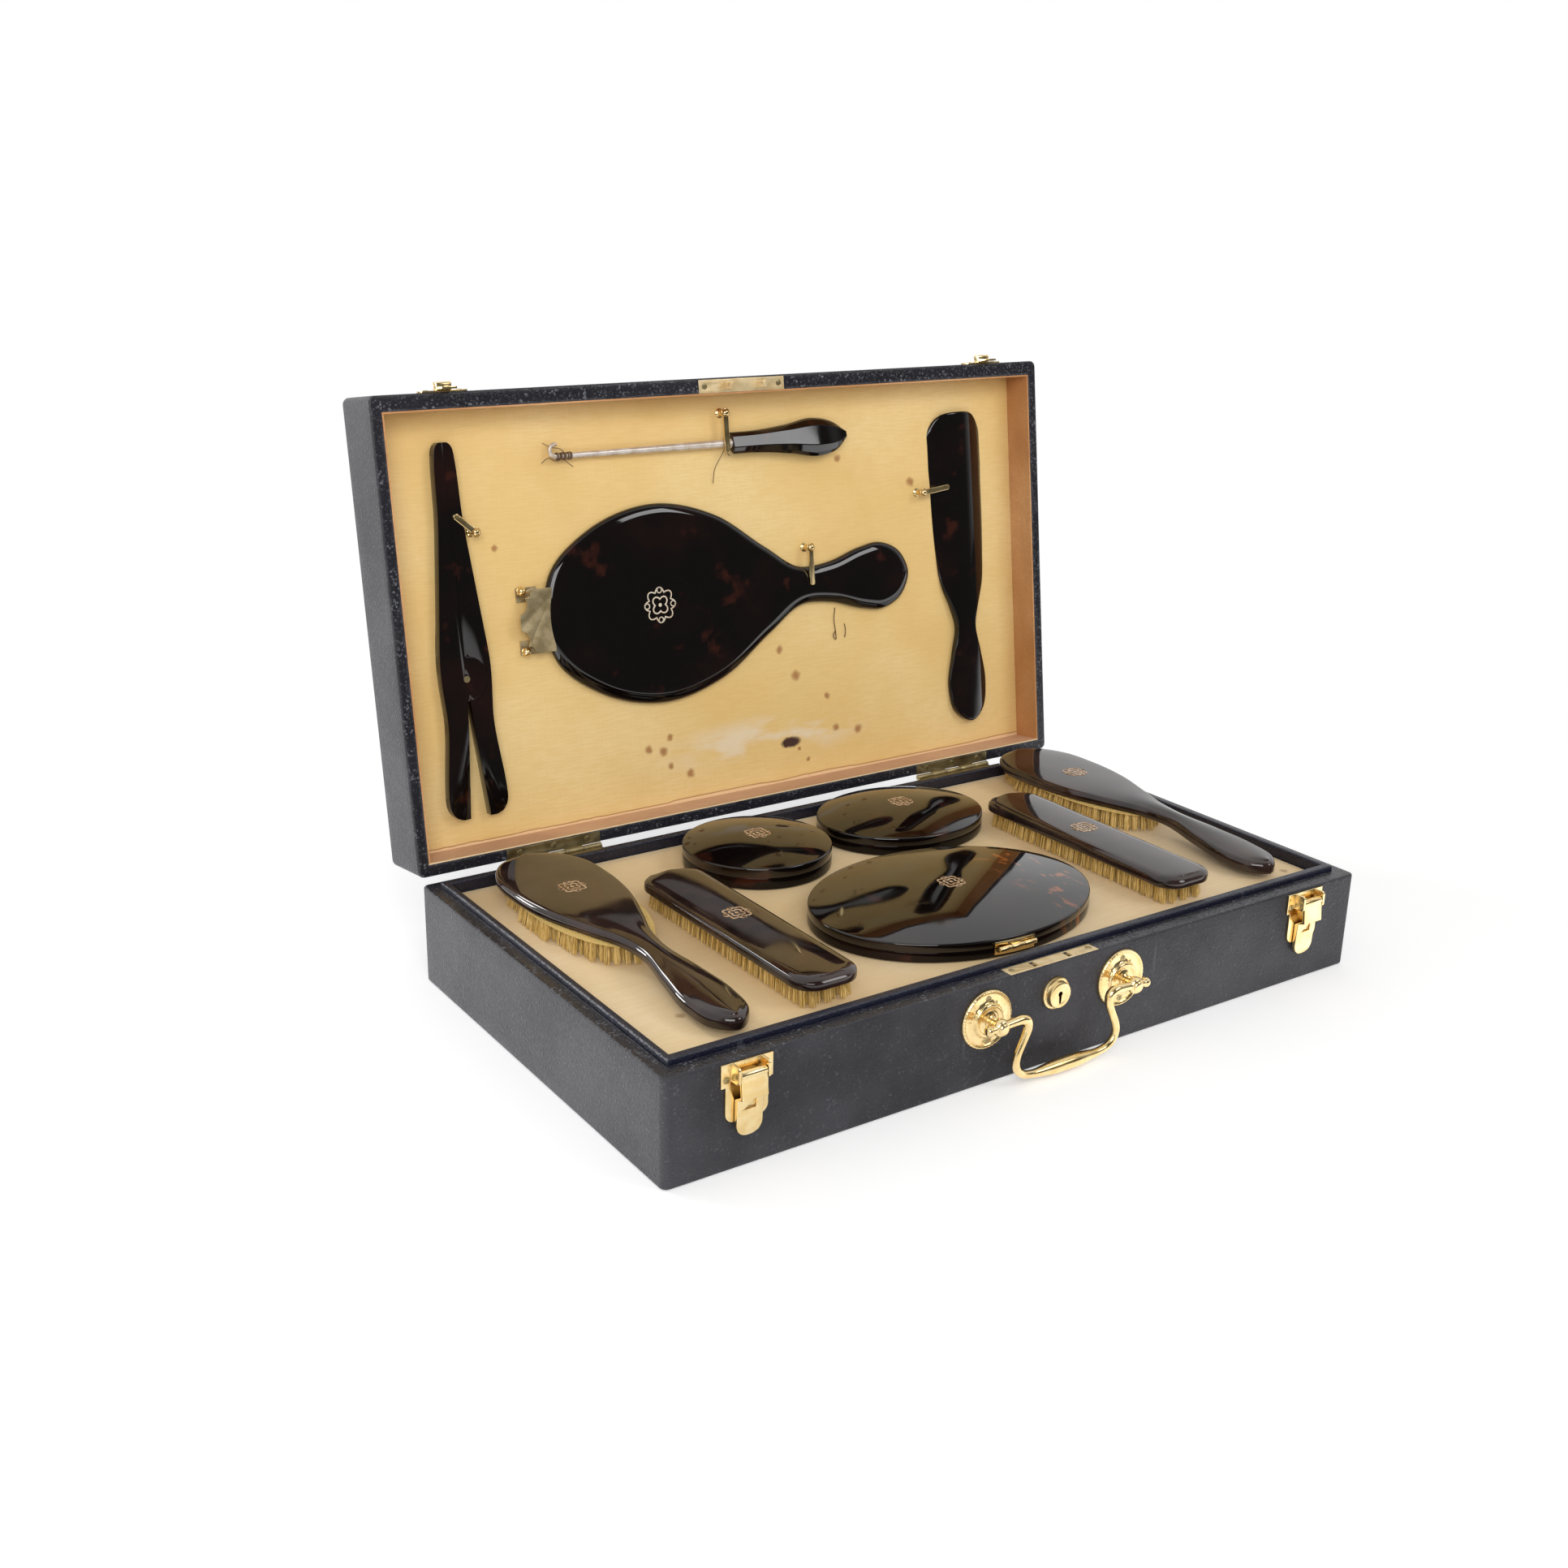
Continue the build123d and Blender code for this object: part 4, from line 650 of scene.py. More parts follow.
def tube(path, radii, count=12):
    path = [Vector(p) for p in path]
    side = None
    points, faces = [], []
    for i, p in enumerate(path):
        along = (path[min(i + 1, len(path) - 1)] - path[max(i - 1, 0)]).normalized()
        if side is None:
            side = along.orthogonal().normalized()
        side = (side - along * side.dot(along)).normalized()
        other = along.cross(side)
        radius = radii[i] if isinstance(radii, list) else radii
        for k in range(count):
            a = 2 * math.pi * k / count
            points.append(p + (side * math.cos(a) + other * math.sin(a)) * radius)
    for i in range(len(path) - 1):
        for k in range(count):
            a, b = i * count + k, i * count + (k + 1) % count
            faces.append((a, b, b + count, a + count))
    for start, tip in ((0, path[0] - (path[1] - path[0]) * 0), (len(points) - count, path[-1])):
        points.append(tip)
        faces += [(start + k, start + (k + 1) % count, len(points) - 1) for k in range(count)]
    return points, faces


def spread(radii, steps):
    # radii at even places along a line, blended to a given number of points
    made = []
    for i in range(steps):
        t = i / (steps - 1) * (len(radii) - 1)
        k = min(int(t), len(radii) - 2)
        blend = t - k
        blend = blend * blend * (3 - 2 * blend)
        made.append(radii[k] * (1 - blend) + radii[k + 1] * blend)
    return made


# Case skins: leather turned in over the rim

skinShape = {"corner": 4.0, "foot": 1.4, "rimRound": 1.3, "mouthRound": 0.5, "thickness": 1.2, "turnIn": 4.0,
             "sink": 0.12, "spacing": 9.0, "wave": 0.16, "waveSize": 55.0, "lockOpening": (15.0, 2.6)}


def framePath(x, y0, y1, radius, counts, perCorner=6):
    corners = [(-x + radius, y0 + radius, 180), (x - radius, y0 + radius, 270), (x - radius, y1 - radius, 0),
               (-x + radius, y1 - radius, 90)]
    arcs = []
    for cx, cy, start in corners:
        turns = [math.radians(start + 90 * k / perCorner) for k in range(perCorner + 1)]
        arcs.append([Vector((cx + radius * math.cos(a), cy + radius * math.sin(a))) for a in turns])
    path = []
    for i, arc in enumerate(arcs):
        path += arc
        beyond = arcs[(i + 1) % 4][0]
        path += [arc[-1].lerp(beyond, k / counts[i % 2]) for k in range(1, counts[i % 2])]
    return path


def skin(outer, mouth, z0, z1):
    # outer and mouth: (half length, near edge, far edge)
    s = skinShape
    counts = (round(2 * outer[0] / s["spacing"]), round((outer[2] - outer[1]) / s["spacing"]))

    def wall(inset, z, wave=0.0):
        x, y0, y1 = outer[0] - inset, outer[1] + inset, outer[2] - inset
        ring = framePath(x, y0, y1, max(s["corner"] - inset, 0.4), counts)
        if wave:
            swell = [noise.noise(Vector((p.x, p.y, z)) / s["waveSize"]) * wave for p in ring]
            ring = [p + w * Vector((1 if p.x > x - 0.01 else -1 if p.x < 0.01 - x else 0,
                                    1 if p.y > y1 - 0.01 else -1 if p.y < y0 + 0.01 else 0))
                    for p, w in zip(ring, swell)]
        return [(p.x, p.y, z) for p in ring]

    def lip(grow, z):
        ring = framePath(mouth[0] + grow, mouth[1] - grow, mouth[2] + grow, 0.5, counts)
        return [(p.x, p.y, z) for p in ring]

    rings = [wall(inset, z0 + height) for inset, height in arcSteps(s["foot"], 4)]
    low, high = z0 + s["foot"], z1 - s["rimRound"]
    rings += [wall(0, low + (high - low) * k / 7, s["wave"]) for k in range(1, 7)]
    rings += [wall(inset, z1 - height) for inset, height in reversed(arcSteps(s["rimRound"], 4))]
    edge, inner = rings[-1], lip(s["mouthRound"], z1)
    rings += [[tuple(Vector(a).lerp(Vector(b), k / 3)) for a, b in zip(edge, inner)] for k in (1, 2)]
    rings += [lip(inset, z1 - height) for inset, height in
              [(s["mouthRound"] - grow, s["mouthRound"] - drop) for grow, drop in reversed(arcSteps(s["mouthRound"], 3))]]
    rings += [lip(0, z1 - s["turnIn"]), lip(s["thickness"], z1 - s["turnIn"]), lip(s["thickness"], z1 - s["thickness"]),
              wall(s["thickness"], z1 - s["thickness"]), wall(s["thickness"], z0 + s["thickness"])]
    count = len(rings[0])
    points = [p for ring in rings for p in ring]
    faces = [tuple(range(count)), tuple((len(rings) - 1) * count + k for k in range(count))]
    for level in range(len(rings) - 1):
        for k in range(count):
            a, b = level * count + k, level * count + (k + 1) % count
            faces.append((a, b, b + count, a + count))
    return points, faces


def caseSkins():
    low, high = boxIn("base_leather")
    lipLow, lipHigh = boxIn("base_lip")
    shape = skin((high.x, low.y, high.y), (lipHigh.x, lipLow.y, lipHigh.y), low.z, high.z - skinShape["sink"])
    # an opening under the lock's plate, for the lid's staples
    lockLow, lockHigh = boxIn("lock_case")
    middle = (lockLow + lockHigh) / 2
    x, y = skinShape["lockOpening"]
    path = framePath(x, -y, y, 0.5, (2, 2), 2)
    count = len(path)
    plug = [(p.x, p.y, z) for z in (-6.0, 2.0) for p in path]
    sides = [(k, (k + 1) % count, count + (k + 1) % count, count + k) for k in range(count)]
    plug = meshOf([(plug, [tuple(range(count)), tuple(range(count, 2 * count)), *sides])], at(middle.x, middle.y, high.z))
    dress(combined(meshOf([shape]), plug, "DIFFERENCE"), "baseSkin", "case", "navy_leather", ("base_leather",))
    low, high = boxIn("lid_leather", lidPlace)
    inLow, inHigh = boxIn("lid_side_lining", lidPlace)
    shape = skin((high.x, low.y, high.y), (inHigh.x, inLow.y, inHigh.y), low.z, high.z - skinShape["sink"])
    makePiece("lidSkin", "lid", "navy_leather", [shape], lidPlace, ("lid_leather",))


caseSkins()

# Cloth-covered boards: lid lining and tray

boardShape = {"edge": 0.9, "cell": 6.0, "relief": 0.14, "reliefSize": 38.0}


def board(low, high):
    s = boardShape
    counts = [round((high[i] - low[i]) / s["cell"]) for i in (0, 1)]

    def steps(axis):
        a, b, count = low[axis], high[axis], counts[axis]
        inner = [a + s["edge"] + (b - a - 2 * s["edge"]) * k / count for k in range(count + 1)]
        return [a, a + s["edge"] * 0.3, *inner, b - s["edge"] * 0.3, b]

    def fall(value, a, b):
        near = min(value - a, b - value) / s["edge"]
        return s["edge"] * (1 - math.sqrt(max(0.0, 1 - (1 - min(near, 1)) ** 2)))

    xs, ys = steps(0), steps(1)
    points, faces = [], []
    for y in ys:
        for x in xs:
            dip = s["relief"] * (0.5 + 0.5 * noise.noise(Vector((x, y, 0)) / s["reliefSize"]))
            points.append((x, y, high.z - dip - min(fall(x, low.x, high.x) + fall(y, low.y, high.y), s["edge"])))
    wide = len(xs)
    for j in range(len(ys) - 1):
        for i in range(wide - 1):
            a = j * wide + i
            faces.append((a, a + 1, a + 1 + wide, a + wide))
    rim = ([i for i in range(wide)] + [j * wide + wide - 1 for j in range(1, len(ys))]
           + [(len(ys) - 1) * wide + i for i in range(wide - 2, -1, -1)] + [j * wide for j in range(len(ys) - 2, 0, -1)])
    start = len(points)
    points += [(points[i][0], points[i][1], low.z) for i in rim]
    for k, i in enumerate(rim):
        after = (k + 1) % len(rim)
        faces.append((i, start + k, start + after, rim[after]))
    faces.append(tuple(range(start, start + len(rim))))
    return points, faces


makePiece("trayCloth", "case", "cream_silk", [board(*boxIn("base_tray"))], stands=("base_tray",))
makePiece("lidCloth", "lid", "gold_silk", [board(*boxIn("lid_board", lidPlace))], lidPlace, ("lid_board",))
print("dressing box: case and linings made")

# Generic inlaid ornament: a small flower in a ring, flat wire on the shell

inlayShape = {"radius": 7.8, "petals": 8, "wire": 0.8, "stand": 0.14, "sink": 0.3}


def ribbon(line, width, z0, z1):
    # closed flat wire along a line of 2D points
    count = len(line)
    inner, outer = insetRing(line, -width / 2), insetRing(line, width / 2)
    points, faces = [], []
    for ring, z in ((inner, z0), (outer, z0), (outer, z1), (inner, z1)):
        points += [(p.x, p.y, z) for p in ring]
    for level in range(4):
        for k in range(count):
            a, b = level * count + k, level * count + (k + 1) % count
            c, d = (level + 1) % 4 * count + (k + 1) % count, (level + 1) % 4 * count + k
            faces.append((a, b, c, d))
    return points, faces


def petalLine(radius, depth, lobes, turn=0.0, steps=96):
    turns = [2 * math.pi * k / steps for k in range(steps)]
    sizes = [radius * (1 - depth + depth * abs(math.cos(lobes * (a + turn) / 2))) for a in turns]
    return [Vector((r * math.cos(a), r * math.sin(a))) for r, a in zip(sizes, turns)]


def inlay(name, body, place, turn=0.0, size=1.0, finish="inlayGold"):
    s = inlayShape
    r = s["radius"] * size
    shapes = [ribbon(petalLine(r, 0.26, s["petals"]), s["wire"], -s["sink"], s["stand"]),
              ribbon(petalLine(r * 0.56, 0.42, 4, math.pi / 4), s["wire"] * 1.1, -s["sink"], s["stand"]),
              lathe([(0, -s["sink"]), (1.15, -s["sink"]), (1.15, s["stand"] * 0.7), (0.8, s["stand"]), (0, s["stand"])], 20)]
    for k in range(4):
        a = math.pi / 2 * k
        loop = [Vector((math.cos(a), math.sin(a))) * r * 0.84 + q * 0.3 for q in petalLine(r * 0.5, 0.0, 2, 0, 24)]
        shapes.append(ribbon(loop, s["wire"] * 0.8, -s["sink"], s["stand"]))
    makePiece(name, body, finish, shapes, place @ at(turnZ=turn))


# Hairbrushes

brushShape = {
    "outline": [(0, 0), (5, 17), (20, 27), (50, 30.2), (80, 26.8), (110, 17.5), (132, 10), (150, 7.6),
                (178, 11.5), (205, 14.2), (224, 10.5), (232, 0)],
    "thickness": 6.3, "topRound": 3.2, "lowRound": 1.3, "crown": 1.1, "level": 133.0, "drop": 6.0, "handleGain": 1.3,
    "field": (130.0, 53.5), "fieldStart": 2.6, "pitch": (4.9, 4.3), "splay": 0.08, "inlayAlong": 61.0,
}
clothesShape = {"corner": 13.0, "field": (152.0, 33.0), "pitch": (5.0, 4.5), "splay": 0.05, "crown": 0.9,
                "edge": [(3.5, 0.0), (3.2, 0.12), (1.5, 0.7), (0.8, 1.25), (0.25, 2.1), (0.0, 3.2)], "inlayAlong": 8.0}
hairShape = {"perTuft": 26, "spread": 1.7, "thick": 0.23, "bend": 0.12, "uneven": 0.5, "backing": 0.05, "flare": 0.14}


def easeIn(value, low, high):
    t = min(max((value - low) / (high - low), 0.0), 1.0)
    return t * t * (3 - 2 * t)


def hair(root, tip, radius, bend):
    # three-sided strand with a slight curve
    points, faces = [], []
    middle = (root + tip) / 2 + bend
    turn = dice.uniform(0, math.pi)
    for place, size in ((root, radius), (root.lerp(middle, 0.6), radius), (middle.lerp(tip, 0.45), radius), (tip, radius * 0.6)):
        for k in range(3):
            a = turn + 2 * math.pi * k / 3
            points.append((place.x + math.cos(a) * size, place.y + math.sin(a) * size, place.z))
    for level in range(3):
        for k in range(3):
            a, b = level * 3 + k, level * 3 + (k + 1) % 3
            faces.append((a, b, b + 3, a + 3))
    faces.append((9, 10, 11))
    return points, faces


def tuftPlaces(field, pitch, oval):
    places = []
    rows = int(field[1] / 2 / pitch[1])
    columns = int(field[0] / 2 / pitch[0])
    for row in range(-rows, rows + 1):
        for column in range(-columns, columns + 1):
            a = (column + 0.5 * (row % 2)) * pitch[0]
            b = row * pitch[1]
            inOval = (2 * a / field[0]) ** 2 + (2 * b / field[1]) ** 2 <= 1
            if inOval if oval else abs(a) <= field[0] / 2:
                places.append((a, b))
    return places


def bristles(field, pitch, splay, oval, top, bottom):
    shapes = []
    for a, b in tuftPlaces(field, pitch, oval):
        for strand in range(hairShape["perTuft"]):
            angle = dice.uniform(0, 2 * math.pi)
            reach = hairShape["spread"] * math.sqrt(dice.random())
            root = Vector((a + reach * math.cos(angle), b + reach * math.sin(angle), top))
            lean = Vector((a * splay * 0.4, b * splay, 0)) + Vector((math.cos(angle), math.sin(angle), 0)) * reach * hairShape["flare"]
            tip = Vector((root.x + lean.x, root.y + lean.y, bottom + dice.uniform(0, hairShape["uneven"])))
            bend = Vector((dice.uniform(-1, 1), dice.uniform(-1, 1), 0)) * hairShape["bend"]
            shapes.append(hair(root, tip, hairShape["thick"] * dice.uniform(0.8, 1.15), bend))
    return shapes


def hairbrush(side):
    s = brushShape
    low, high = boxIn(side + "_hairbrush_back")
    under = boxIn(side + "_hairbrush_bristles")[1].z
    floor = boxIn(side + "_hairbrush_bristles")[0].z
    body = side + "_hairbrush"
    place = at((low.x + high.x) / 2, high.y, under, turnZ=-90)

    def fallAt(along):
        return s["drop"] * easeIn(along, s["level"], 233)

    def over(along, across):
        return s["thickness"] - fallAt(along)

    def below(along, across):
        return -fallAt(along) - s["handleGain"] * easeIn(along, s["level"], 233)

    back = slab(halfLine(s["outline"]), below, over, arcSteps(s["lowRound"], 3), arcSteps(s["topRound"], 5), 10, s["crown"])
    makePiece(side + "HairbrushBack", body, "hazeAndSheenShell", [back], place, (side + "_hairbrush_back",))
    shapes = bristles(s["field"], s["pitch"], s["splay"], True, 0.3, floor - under)
    shapes.append(ovalPlate(s["field"][0] / 2 + 2.4, s["field"][1] / 2 + 2.4, -hairShape["backing"], 0.2))
    field = at(s["fieldStart"] + s["field"][0] / 2, inside=place)
    makePiece(side + "HairbrushBristles", body, "bristle", shapes, field, (side + "_hairbrush_bristles",))
    crest = s["thickness"] + s["crown"]
    inlay(side + "HairbrushInlay", body, at(s["inlayAlong"], 0, crest, inside=place), 90)


def ovalPlate(halfLength, halfWidth, z0, z1, count=64):
    turns = [2 * math.pi * k / count for k in range(count)]
    points = [(halfLength * math.cos(a), halfWidth * math.sin(a), z) for z in (z0, z1) for a in turns]
    faces = [tuple(range(count)), tuple(range(count, 2 * count))]
    faces += [(k, (k + 1) % count, count + (k + 1) % count, count + k) for k in range(count)]
    return points, faces


def clothesBrush(side):
    s = clothesShape
    low, high = boxIn(side + "_clothes_brush_back")
    under = low.z
    floor = boxIn(side + "_clothes_brush_bristles")[0].z
    body = side + "_clothes_brush"
    length, width, tall = high.y - low.y, high.x - low.x, high.z - low.z
    place = at((low.x + high.x) / 2, (low.y + high.y) / 2, under, turnZ=90)
    r = s["corner"]
    turns = [math.radians(90 * k / 8) for k in range(9)]
    half = [Vector((-length / 2, 0)), Vector((-length / 2, (width / 2 - r) * 0.5))]
    half += [Vector((-length / 2 + r - r * math.cos(a), width / 2 - r + r * math.sin(a))) for a in turns]
    step = (length - 2 * r) / 24
    half += [Vector((-length / 2 + r + step * k, width / 2)) for k in range(1, 24)]
    half += [Vector((length / 2 - r + r * math.sin(a), width / 2 - r + r * math.cos(a))) for a in turns]
    half += [Vector((length / 2, (width / 2 - r) * 0.5)), Vector((length / 2, 0))]
    back = slab(half, lambda a, b: 0.0, lambda a, b: tall, arcSteps(1.2, 3), s["edge"], 10, s["crown"])
    makePiece(side + "ClothesBrushBack", body, "hazeAndSheenShell", [back], place, (side + "_clothes_brush_back",), 20.0)
    shapes = bristles(s["field"], s["pitch"], s["splay"], False, 0.3, floor - under)
    x, y = s["field"][0] / 2 + 2.2, s["field"][1] / 2 + 2.2
    path = framePath(x, -y, y, 9.0, (2, 2))
    count = len(path)
    plate = [(p.x, p.y, z) for z in (-hairShape["backing"], 0.2) for p in path]
    sides = [(k, (k + 1) % count, count + (k + 1) % count, count + k) for k in range(count)]
    shapes.append((plate, [tuple(range(count)), tuple(range(count, 2 * count)), *sides]))
    makePiece(side + "ClothesBrushBristles", body, "bristle", shapes, place, (side + "_clothes_brush_bristles",))
    inlay(side + "ClothesBrushInlay", body, at(s["inlayAlong"], 0, tall + s["crown"], inside=place))


for brushSide in ("left", "right"):
    hairbrush(brushSide)
    clothesBrush(brushSide)
print("dressing box: brushes made")

# Oval boxes: crisp polished covers over plain bodies, with a spigot between them

boxShape = {"wall": 2.4, "floor": 1.6, "skirt": 1.1, "fit": 0.3, "topRound": 1.0, "lowRound": 1.2, "ripple": 0.16,
            "rippleSize": 46.0, "count": 128}
boxCrowns = {"small": 5.5, "medium": 6.8, "large": 6.2}


def ovalTurned(a, b, profile, middle=(0, 0), ripple=0.0):
    # profile: (inset, height, share of the size) steps; a share of 0 is the middle
    count = boxShape["count"]
    points, faces, rows = [], [], []
    for inset, height, share in profile:
        if share == 0:
            points.append((0, 0, height))
            rows.append([len(points) - 1] * count)
            continue
        row = []
        for k in range(count):
            turn = 2 * math.pi * k / count
            x, y = (a - inset) * share * math.cos(turn), (b - inset) * share * math.sin(turn)
            lift = 0.0
            if ripple and share < 1:
                spot = Vector((x + middle[0], y + middle[1], 3)) / boxShape["rippleSize"]
                lift = ripple * noise.noise(spot) * min(1.0, (1 - share) * 6)
            points.append((x, y, height + lift))
            row.append(len(points) - 1)
        rows.append(row)
    for low, high in zip(rows, rows[1:]):
        for k in range(count):
            face = [low[k], low[(k + 1) % count], high[(k + 1) % count], high[k]]
            face = list(dict.fromkeys(face))
            if len(face) > 2:
                faces.append(face)
    return points, faces


def ovalBox(kind):
    s = boxShape
    low, high = boxIn(kind + "_box_base")
    coverLow, coverHigh = boxIn(kind + "_box_lid")
    a, b = (coverHigh.x - coverLow.x) / 2, (coverHigh.y - coverLow.y) / 2
    middle = ((coverHigh.x + coverLow.x) / 2, (coverHigh.y + coverLow.y) / 2)
    crown = boxCrowns[kind]
    parting, spigot, top = coverLow.z - low.z, high.z - low.z, coverHigh.z - low.z - crown
    place = at(middle[0], middle[1], low.z)
    under = s["skirt"] + s["fit"]
    profile = [(0, 0, 0), (s["lowRound"], 0, 0.5)]
    profile += [(inset, height, 1) for inset, height in arcSteps(s["lowRound"], 4)]
    profile += [(0, parting - 0.35, 1), (0.12, parting - 0.1, 1), (0.4, parting, 1), (under, parting, 1),
                (under, spigot - 0.3, 1), (under + 0.3, spigot, 1), (s["wall"] - 0.2, spigot, 1),
                (s["wall"], spigot - 0.2, 1), (s["wall"], s["floor"] + 0.6, 1), (s["wall"] + 0.6, s["floor"], 1),
                (s["wall"], s["floor"], 0.5), (0, s["floor"], 0)]
    makePiece(kind + "BoxBody", bodyOfNode[kind + "_box_base"], "boxWall", [ovalTurned(a, b, profile)], place,
              (kind + "_box_base",))
    ceiling = spigot + s["fit"]
    shares = [k / 16 for k in range(16)] + [0.97]
    profile = [(s["topRound"], top + crown * (1 - share ** 2), share) for share in shares]
    profile += [(inset, top - height, 1) for inset, height in arcSteps(s["topRound"], 4)]
    profile += [(0, parting + 0.35, 1), (0.12, parting + 0.1, 1), (0.4, parting, 1), (s["skirt"], parting, 1),
                (s["skirt"], ceiling - 0.3, 1), (s["skirt"] + 0.3, ceiling, 1)]
    profile += [(s["skirt"] + 0.7, ceiling + crown * (1 - share ** 2), share) for share in (0.98, 0.75, 0.5, 0.25, 0)]
    cover = ovalTurned(a, b, profile, middle, s["ripple"])
    body = bodyOfNode[kind + "_box_lid"]
    makePiece(kind + "BoxCover", body, "tortoiseshell", [cover], place, (kind + "_box_lid",))
    inlay(kind + "BoxInlay", body, at(*middle, low.z + top + crown))


for boxKind in ("small", "medium", "large"):
    ovalBox(boxKind)
softenedCopy("large_box_hinge_base_leaf", "largeBoxHingeBaseLeaf", 0.18, 2)
softenedCopy("large_box_hinge_lid_leaf", "largeBoxHingeLidLeaf", 0.18, 2)
print("dressing box: oval boxes made")

# Hand mirror

mirrorShape = {
    "outline": [(-80.5, 0), (-74, 27), (-48, 49), (0, 61.8), (43, 51.5), (80, 27.5), (106, 12.4), (128, 13.3),
                (155, 20.6), (170, 22.5), (187, 15), (194, 0)],
    "edge": [(7.0, 0.0), (5.6, 0.14), (3.9, 0.62), (2.4, 1.2), (1.2, 1.95), (0.4, 2.9), (0.0, 4.2)], "lowRound": 1.6,
    "crown": 0.12, "inlay": (-3.0, 0.0),
}


def handMirror():
    s = mirrorShape
    low, high = boxIn("mirror_frame", lidPlace)
    glassLow, glassHigh = boxIn("mirror_glass", lidPlace)
    tall = high.z - low.z
    middle = (glassLow + glassHigh) / 2
    place = at(low.x - s["outline"][0][0], (low.y + high.y) / 2, low.z, inside=lidPlace)
    body = slab(halfLine(s["outline"]), lambda a, b: 0.0, lambda a, b: tall, arcSteps(s["lowRound"], 4),
                s["edge"], 12, s["crown"])
    hollow = ovalPlate((glassHigh.x - glassLow.x) / 2 + 0.02, (glassHigh.y - glassLow.y) / 2 + 0.02, -1.0,
                       glassHigh.z - low.z + 0.02, 96)
    bed = meshOf([hollow], at(middle.x, middle.y, low.z, inside=lidPlace))
    mesh = combined(meshOf([body], place), bed, "DIFFERENCE")
    dress(mesh, "mirrorBack", "mirror", "tortoiseshell", ("mirror_frame",))
    inlay("mirrorInlay", "mirror", at(*s["inlay"], tall + s["crown"], inside=place), 0, 1.4, "paleInlay")


handMirror()

# Shoehorn: arched shell running into a solid handle

hornShape = {
    "outline": [(0, 0), (2.5, 15), (11, 22), (50, 22.7), (95, 20.6), (117, 18), (132, 12), (146, 8), (165, 12),
                (188, 16.3), (206, 12), (214, 0)],
    "lean": 1.1, "arch": 44.0, "shell": 2.2, "solidFrom": (104.0, 118.0), "floor": 0.35,
}


def shoehorn():
    s = hornShape
    low, high = boxIn("shoehorn", lidPlace)
    tall = high.z - low.z

    def over(along, across):
        return tall - s["arch"] + math.sqrt(s["arch"] ** 2 - min(abs(across), 40) ** 2)

    def under(along, across):
        thin = over(along, across) - s["shell"]
        solid = easeIn(along, *s["solidFrom"])
        return max(thin * (1 - solid) + min(s["floor"], over(along, across) - 0.8) * solid, -3.0)

    body = slab(halfLine(s["outline"]), under, over, arcSteps(0.7, 3), arcSteps(1.1, 4), 12, 0.0)
    lean = Matrix.Rotation(math.radians(-90 + s["lean"]), 3, "Z")
    shape = moved(body, turn=lean)
    sizes = [[p[i] for p in shape[0]] for i in (0, 1)]
    x = (low.x + high.x) / 2 - (min(sizes[0]) + max(sizes[0])) / 2
    y = high.y - max(sizes[1])
    makePiece("hornBlade", "lid", "tortoiseshell", [shape], at(x, y, low.z, inside=lidPlace), ("shoehorn",))


shoehorn()

# Button hook: faceted handle, steel shank with a hook, and old thread tied round it

buttonShape = {
    "outline": [(0, 7.0), (17, 7.2), (43, 9.6), (65, 12.6), (81, 8.5), (87.5, 3.0)], "facet": 0.5, "height": 10.0,
    "tilt": -15.0, "shankHeight": 3.7, "shankLength": 122.0, "hookRadius": 3.6,
}


def buttonHook():
    s = buttonShape
    low, high = boxIn("button_hook_handle", lidPlace)
    v = (low.y + high.y) / 2
    line = smoothLine(s["outline"], 2.5)
    points, faces = [], []
    middle = s["height"] / 2
    length = line[-1].x
    lean = Vector((math.cos(math.radians(s["tilt"])), math.sin(math.radians(s["tilt"]))))
    for p in line:
        # eight-sided section, with the broad facet on top
        fullness = min(1.0, 0.62 + 0.38 * easeIn(p.x, 4, 40)) * (1 - 0.45 * easeIn(p.x, 66, length))
        h = middle * fullness
        flat = p.y * s["facet"]
        ring = [(flat, h), (p.y * 0.86, h * 0.42), (p.y, 0.0), (p.y * 0.86, -h * 0.42), (flat, -h), (-flat, -h),
                (-p.y * 0.86, -h * 0.42), (-p.y, 0.0), (-p.y * 0.86, h * 0.42), (-flat, h)]
        points += [(p.x, a * lean.x - b * lean.y, max(middle + a * lean.y + b * lean.x, 0.1)) for a, b in ring]
    for level in range(len(line) - 1):
        for k in range(10):
            a, b = level * 10 + k, level * 10 + (k + 1) % 10
            faces.append((a, b, b + 10, a + 10))
    faces += [tuple(range(10)), tuple(range(len(points) - 10, len(points)))]
    handle = makePiece("buttonHookHandle", "lid", "tortoiseshell", [(points, faces)], at(low.x, v, low.z, inside=lidPlace),
                       ("button_hook_handle",), 14.0)
    soft = handle.modifiers.new("rubbed", "BEVEL")
    soft.width = 0.35 * mm
    soft.segments = 2
    soft.limit_method = "ANGLE"
    soft.angle_limit = math.radians(14)
    place = at(low.x, v, low.z + s["shankHeight"], inside=lidPlace)
    end = -s["shankLength"]
    r = s["hookRadius"]
    turns = [math.radians(a) for a in range(0, 200, 14)]
    bend = [(end - r * math.sin(a), r - r * math.cos(a), 0.0) for a in turns]
    path = [(x, 0.0, 0.0) for x in (6, 0, -4, -20, -50, -80, -105, -115)] + bend
    radii = [2.3, 2.3, 2.4, 2.4, 2.2, 2.0, 1.8, 1.65] + [1.5 - 0.6 * k / len(bend) for k in range(len(bend))]
    shank = tube(path, radii, 16)
    collar = [(0, 0.6), (3.0, 0.6), (3.15, 0.2), (3.0, -0.4), (2.5, -0.9), (2.8, -1.3), (2.4, -1.9), (0, -2.1)]
    collar = moved(lathe(collar, 28), turn=Matrix.Rotation(math.radians(90), 3, "Y"))
    makePiece("buttonHookShank", "lid", "steel", [shank, collar], place, ("button_hook_shank",))


